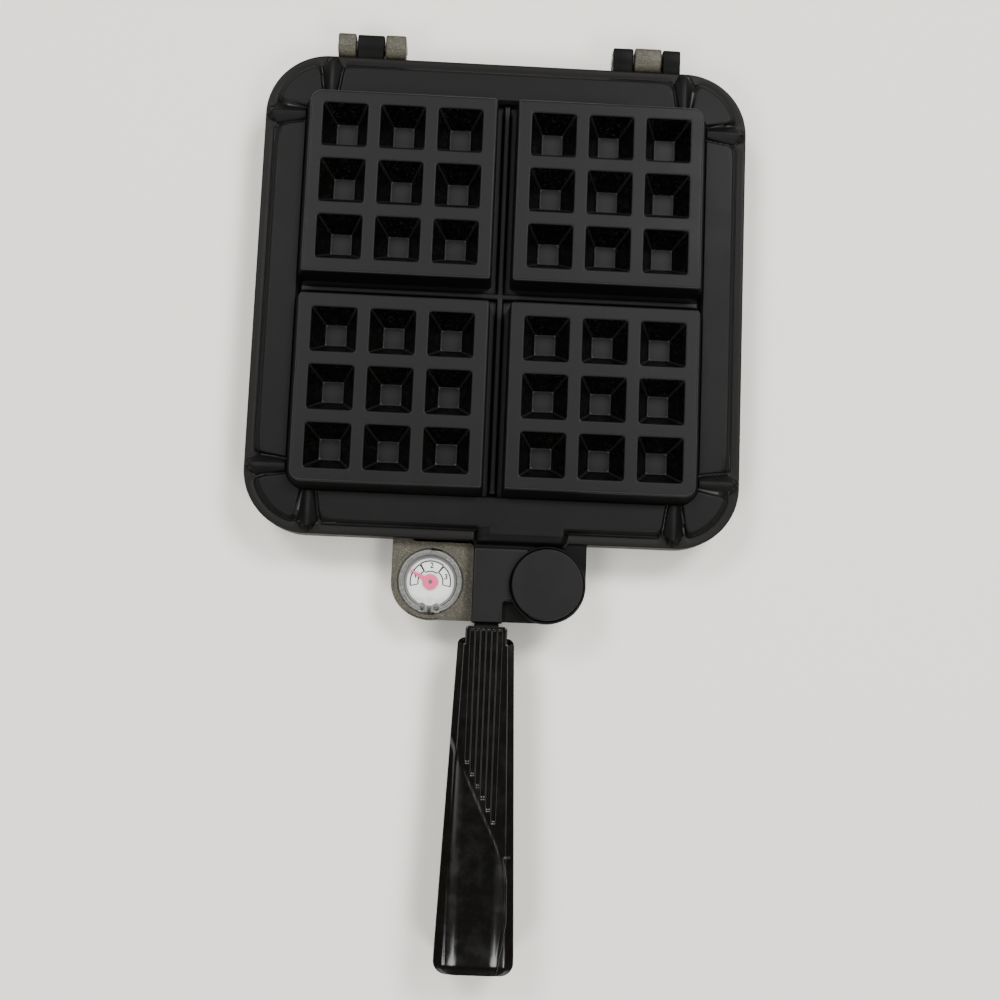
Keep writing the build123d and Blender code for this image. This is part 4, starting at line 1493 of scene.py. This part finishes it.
    def surface(self) -> list[Sheet]:
        """Rows of closed sections from the nose to the end, close together where it is fine.

        A row's place counts from the middle of the plate, and its points' from the middle of
        the handle, where each flute gets points at set shares of its radius.
        """
        bend = np.linspace(0, math.pi / 2, 12)
        near, far = self.corners
        nose = self.root + self.nose_edge * np.array([0, 0.03, 0.1, 0.25, 0.5, 0.75, 1])
        flute_ends = np.concatenate([np.arange(146.4, 149.0, 0.14), np.arange(149.0, 150.4, 0.3)])
        shoulder = self.shoulder + near * (1 - np.cos(bend))
        middle = [np.arange(153.7, 158, 0.4), np.arange(158, 192, 2.0), np.arange(192, 246, 0.5),
                  np.arange(246, 283, 1.5)]
        end = self.end - far * (1 - np.sin(bend[1:-1] + 0.05))
        stations = np.concatenate([nose, flute_ends, shoulder, *middle, end])
        y = np.unique(np.round(stations, 3))[:, None]
        ridge = (np.arange(self.flutes) - (self.flutes - 1) / 2) * self.pitch
        half_phase = np.array([0.75, 0.8, 0.92, 1, 1.1])
        phase = np.concatenate([-half_phase[::-1], [0], half_phase]) * self.flute_radius
        middle = np.append(phase, self.pitch / 2) + ridge[:, None]
        middle = middle.ravel()[:-1] * self.narrowing(y)
        right, left = self.side(y, 1), self.side(y, -1)
        x = np.concatenate([middle, right[0], left[0][:, ::-1]], 1)
        z = np.concatenate([self.level(middle, y), right[1], left[1][:, ::-1]], 1)
        points = np.stack([x, np.broadcast_to(y, x.shape), z], 2)
        return capped(points * [1, -1, 1], self.highlights(points))

    def build(self, half: Half) -> None:
        """Makes the handle half."""
        make_piece(half.node("grip"), half, self.surface(), [PHENOLIC, PHENOLIC_HIGHLIGHT],
                   [half.node("handle")])


# ---- gauge --------------------------------------------------------------------------------
@dataclass(frozen=True)
class Gauge:
    """Snap ring, printed dial and pointer in the well of one ear."""

    centre: tuple[float, float] = Arm.gauge
    ring: tuple[float, float] = (12.0, 13.85)
    flange: tuple[float, float] = (14.7, 1.2)
    ring_levels: tuple[float, float] = (0.6, 1.6)
    ring_stops: tuple[float, float, float] = (3.6, 9.4, 21.0)
    ring_ends: tuple[float, float] = (10.9, 13.25)
    lug_side: float = 3.2
    lug_out: float = 11.6
    lug_radii: tuple[float, float] = (1.25, 2.2)
    web: tuple[float, float] = (1.6, 3.2)
    bezel: tuple[float, float, float] = (14.3, 11.45, 10.25)
    bezel_groove: tuple[float, float] = (12.2, 1.6)
    bezel_mouth: float = 4.3
    bezel_levels: tuple[float, float] = (3.2, 5.2)
    dial_level: float = 5.3
    scales: tuple[tuple[float, float], ...] = ((5.5, 8.9), (4.7, 9.2), (5.5, 8.9))
    marks: tuple[float, ...] = (-13.0, 52.0, 122.0, 194.0)
    line: float = 0.56
    box_gap: float = 1.5
    ink_lift: float = 0.03
    numeral_size: float = 3.4
    numeral_bold: float = 0.09
    hub: float = 3.4
    blade: tuple[float, float, float] = (10.0, 1.2, 0.3)
    pointer_levels: tuple[float, float] = (4.0, 4.5)
    rest: float = 28.0

    def shifted(self, sheet: Sheet) -> Sheet:
        """Moves a sheet from the z axis to the gauge."""
        return Sheet(sheet.points + [*self.centre, 0], sheet.faces, sheet.finish)

    def snap_ring(self) -> list[Sheet]:
        """Sprung band of rounded section, and its two lugs with holes for pliers."""
        low, high = self.ring_levels
        gap, lug_start, lug_end = self.ring_stops
        end_inner, rim_inner = self.ring_ends
        band = self.band(self.ring[0], lug_end, 360 - lug_end)
        for inner, start, end in ((end_inner, gap, lug_start), (rim_inner, gap, lug_end + 1)):
            band.extend(self.band(inner, start, end))
            band.extend(self.band(inner, -end, -start))
        hole, rim = self.lug_radii
        line = filleted([(hole, high - 0.02, 0.2), (hole, low - 0.02, 0.2),
                         (rim, low - 0.02, 0.3), (rim, high - 0.02, 0.3)], 3, True)
        for side in (-1, 1):
            band.append(revolved(line, (side * self.lug_side, -self.lug_out), 32, ring=True))
            band.extend(self.lug_web(side))
        return [self.shifted(sheet) for sheet in band]

    def band(self, inner: float, start: float, end: float) -> list[Sheet]:
        """A stretch of the ring between two angles from its opening; its flange sits lower."""
        low, high = self.ring_levels
        outer, (flange, step) = self.ring[1], self.flange
        section = filleted([(inner, high, 0.1), (inner, low, 0.2), (outer, low, 0.2),
                            (outer, step, 0), (flange, step, 0.05), (flange, high, 0.05)], 3, True)
        angle = np.radians(np.arange(start, end + 1.4, 2.9).clip(start, end) - 90)
        rows = np.stack([section[:, 0] * np.cos(angle)[:, None],
                         section[:, 0] * np.sin(angle)[:, None],
                         np.broadcast_to(section[:, 1], (len(angle), len(section)))], 2)
        return capped(rows[:, ::-1])

    def lug_web(self, side: int) -> list[Sheet]:
        """Fills between a lug and the band: its far side is hollow, of the web's second radius.

        The hollow touches the lug's circle and the band's inner edge, so its centre lies on
        a circle about each of their centres.
        """
        low, high = self.ring_levels
        near, hollow = self.web
        lug = np.array([self.lug_side, -self.lug_out])
        rim, inner = self.lug_radii[1], self.ring[0]
        reach, away = rim + hollow, inner - hollow
        span = float(np.hypot(*lug))
        along = (away ** 2 - reach ** 2 + span ** 2) / (2 * span)
        across = math.sqrt(away ** 2 - along ** 2)
        out = lug / span
        centre = out * along + np.array([-out[1], out[0]]) * across
        to_lug, to_band = (lug - centre) / reach, centre / away
        start, end = (math.atan2(spot[1], spot[0]) for spot in (to_lug, to_band))
        angle = np.linspace(start, end, 9)
        arc = centre + hollow * np.stack([np.cos(angle), np.sin(angle)], 1)
        outside = to_band * (inner + near)
        beside = lug / span * (inner + near)
        inside = lug + (beside - lug) * 0.75
        outline = np.concatenate([arc, [outside, beside, inside]])
        outline = outline if signed_area(outline) > 0 else outline[::-1]
        return prism(outline, low + 0.02, high - 0.05, (0.05, 0.05))

    def bezel_piece(self) -> Sheet:
        """Sloping ring that frames the dial under the lens, with a groove round its mouth."""
        outer, mouth, foot = self.bezel
        low, high = self.bezel_levels
        groove, depth = self.bezel_groove
        line = filleted([(outer, low, 0.1), (groove, low, 0.1), (groove, low + depth, 0),
                         (mouth, low + depth, 0), (mouth, self.bezel_mouth, 0.1),
                         (foot, high, 0.1), (outer, high, 0.1)], 3, True)
        return self.shifted(revolved(line, (0, 0), ring=True))

    def sector(self, near: float, far: float, start: float, end: float, level: float) -> Sheet:
        """A flat piece of a ring, facing the mouth, between two directions in degrees."""
        angle = np.radians(180 - np.linspace(start, end, max(2, int(abs(end - start)))))
        radius = np.array([near, far])[:, None]
        points = np.stack([radius * np.cos(angle), radius * np.sin(angle),
                           np.full((2, len(angle)), level)], 2)
        return grid_sheet(points)

    def print_marks(self) -> list[Sheet]:
        """Three outlined boxes along the scale with plain numbers in them."""
        level = self.dial_level - self.ink_lift
        sheets = []
        for number, (near, far) in enumerate(self.scales):
            start, end = self.marks[number] + self.box_gap, self.marks[number + 1] - self.box_gap
            for radius in (near, far):
                sheets.append(self.sector(radius - self.line / 2, radius + self.line / 2,
                                          start, end, level))
            for side in (start, end):
                half = math.degrees(self.line / 2 / far)
                sheets.append(self.sector(near, far, side - half, side + half, level))
            sheets.append(self.numeral(str(len(self.marks) - 1 - number),
                                       math.radians((start + end) / 2), level))
        return [self.shifted(sheet) for sheet in sheets]

    def numeral(self, text: str, angle: float, level: float) -> Sheet:
        """A number in the middle of a box, upright when the gauge is read."""
        curve = bpy.data.curves.new("numeral", "FONT")
        curve.body, curve.size, curve.offset = text, self.numeral_size, self.numeral_bold
        curve.align_x, curve.align_y = "CENTER", "CENTER"
        holder = bpy.data.objects.new("numeral", curve)
        mesh = bpy.data.meshes.new_from_object(holder)
        mesh.calc_loop_triangles()
        points = np.empty(len(mesh.vertices) * 3)
        mesh.vertices.foreach_get("co", points)
        faces = np.empty(len(mesh.loop_triangles) * 3, int)
        mesh.loop_triangles.foreach_get("vertices", faces)
        bpy.data.objects.remove(holder)
        bpy.data.meshes.remove(mesh)
        points = points.reshape(-1, 3)
        radius = sum(self.scales[0]) / 2
        points[:, 0] = -(points[:, 0] + radius * math.cos(angle))
        points[:, 1] += radius * math.sin(angle)
        points[:, 2] = level
        return Sheet(points, faces.reshape(-1, 3))

    def pointer(self) -> list[Sheet]:
        """Domed hub and a tapered blade."""
        low, high = self.pointer_levels
        length, root, tip = self.blade
        hub = revolved(filleted([(0, low, 0), (self.hub, low, 0.25), (self.hub, high, 0.2),
                                 (0, high, 0)], 4), (0, 0), 48)
        corners = [(0, -root, 0), (length, -tip, 0.15), (length, tip, 0.15), (0, root, 0)]
        blade = prism(filleted(corners, 2, True), low + 0.02, high - 0.02, (0.12, 0.12), 0, 0.05)
        turn = math.radians(self.rest)
        spin = np.array([[math.cos(turn), math.sin(turn), 0],
                         [-math.sin(turn), math.cos(turn), 0], [0, 0, 1]])
        return [self.shifted(Sheet(s.points @ spin, s.faces, s.finish)) for s in [hub, *blade]]

    def build(self, half: Half) -> None:
        """Makes the ring, the print and the pointer, and gives the CAD parts their finishes."""
        make_piece(half.node("ring"), half, self.snap_ring(), [SATIN],
                   [half.node("snap_ring")])
        make_piece(half.node("bezel"), half, [self.bezel_piece()], [RIM],
                   [half.node("spacer_ring")])
        make_piece(half.node("print"), half, self.print_marks(), [INK])
        make_piece(half.node("hand"), half, self.pointer(), [PINK],
                   [half.node("pointer")], f"{half.value}_needle")
        for node, finish in (("dial", WHITE), ("bimetal_coil", BIMETAL), ("arbor", SATIN),
                             ("lens", LENS), ("handle_screws", STEEL)):
            dress(half.node(node), finish)


def dress(node: str, finish: Finish) -> None:
    """Gives a CAD node a finish."""
    mesh = frame["nodes"][node].data
    mesh.materials.clear()
    mesh.materials.append(finish.material())


# ---- surroundings -------------------------------------------------------------------------
@dataclass(frozen=True)
class Lamp:
    """One soft rectangular lamp aimed at the middle of the iron."""

    name: str
    place: tuple[float, float, float]
    size: tuple[float, float]
    power: float

    def build(self) -> None:
        """Adds the lamp."""
        light = bpy.data.lights.new(self.name, "AREA")
        light.shape, light.energy = "RECTANGLE", self.power
        light.size, light.size_y = self.size
        lamp = bpy.data.objects.new(self.name, light)
        turn = (-Vector(self.place)).to_track_quat("-Z", "Y").to_matrix().to_4x4()
        lamp.matrix_world = Matrix.Translation(self.place) @ turn
        bpy.context.scene.collection.objects.link(lamp)


@dataclass(frozen=True)
class Surroundings:
    """Pale floor, soft lamps overhead, a faint even sky and the camera."""

    floor_half: float = 3.0
    floor_drop: float = 0.0004
    sky: float = 0.15
    sky_colour: Colour = (1.0, 1.0, 1.0)
    eye: tuple[float, float, float] = (-0.0114, -0.07225, 0.5938)
    forward: tuple[float, float, float] = (0.0262, 0.1167, -0.9928)
    up: tuple[float, float, float] = (-0.0433, 0.9924, 0.1155)
    lens: float = 47.34
    sensor: float = 36.0
    lamps: tuple[Lamp, ...] = (
        Lamp("left_strip", (-1.05, 0.45, 1.7), (1.5, 0.5), 11.0),
        Lamp("right_strip", (1.05, 0.45, 1.7), (1.5, 0.5), 12.5),
        Lamp("far_left", (-0.8, 0.9, 1.7), (0.6, 0.6), 22.0),
        Lamp("far_right", (0.8, 0.9, 1.7), (0.6, 0.6), 32.0),
        Lamp("near_left", (-0.75, -1.02, 1.7), (0.6, 0.6), 20.5),
        Lamp("near_right", (0.75, -1.02, 1.7), (0.6, 0.6), 22.5),
    )

    def floor(self) -> None:
        """Adds the floor just under the iron."""
        size = self.floor_half
        level = CAD_BOX[0][2] - self.floor_drop
        mesh = bpy.data.meshes.new("floor")
        corners = np.array([(-size, -size, level), (size, -size, level), (size, size, level),
                            (-size, size, level)])
        mesh.from_pydata(corners, [], [(0, 1, 2, 3)])
        mesh.materials.append(PAPER.material())
        floor = bpy.data.objects.new("floor", mesh)
        bpy.context.scene.collection.objects.link(floor)

    def camera(self) -> None:
        """Adds the camera and makes it the scene's."""
        data = bpy.data.cameras.new("camera")
        data.lens, data.sensor_width = self.lens, self.sensor
        back = -Vector(self.forward).normalized()
        right = Vector(self.up).cross(back).normalized()
        turn = Matrix((right, back.cross(right), back)).transposed().to_4x4()
        camera = bpy.data.objects.new("camera", data)
        camera.matrix_world = Matrix.Translation(self.eye) @ turn
        bpy.context.scene.collection.objects.link(camera)
        bpy.context.scene.camera = camera

    def build(self) -> None:
        """Adds everything round the iron."""
        self.floor()
        for lamp in self.lamps:
            lamp.build()
        world = bpy.data.worlds.new("sky")
        world.use_nodes = True
        ground = world.node_tree.nodes["Background"]
        ground.inputs["Color"].default_value = (*self.sky_colour, 1.0)
        ground.inputs["Strength"].default_value = self.sky
        bpy.context.scene.world = world
        self.camera()
        log.info("surroundings: floor, %d lamps, sky and camera", len(self.lamps))


def main() -> None:
    """Builds both halves piece by piece, and what surrounds them."""
    logging.basicConfig(level=logging.INFO, format="%(name)s: %(message)s")
    for half in Half:
        for part in (Lattice(), Border(), Arm(), Knuckles(), Handle(), Gauge()):
            part.build(half)
            log.info("%s %s done", half.value, type(part).__name__.lower())
    for pin in ("right_hinge_pin", "left_hinge_pin"):
        dress(pin, STEEL)
    Surroundings().build()


if __name__ == "__main__":
    main()
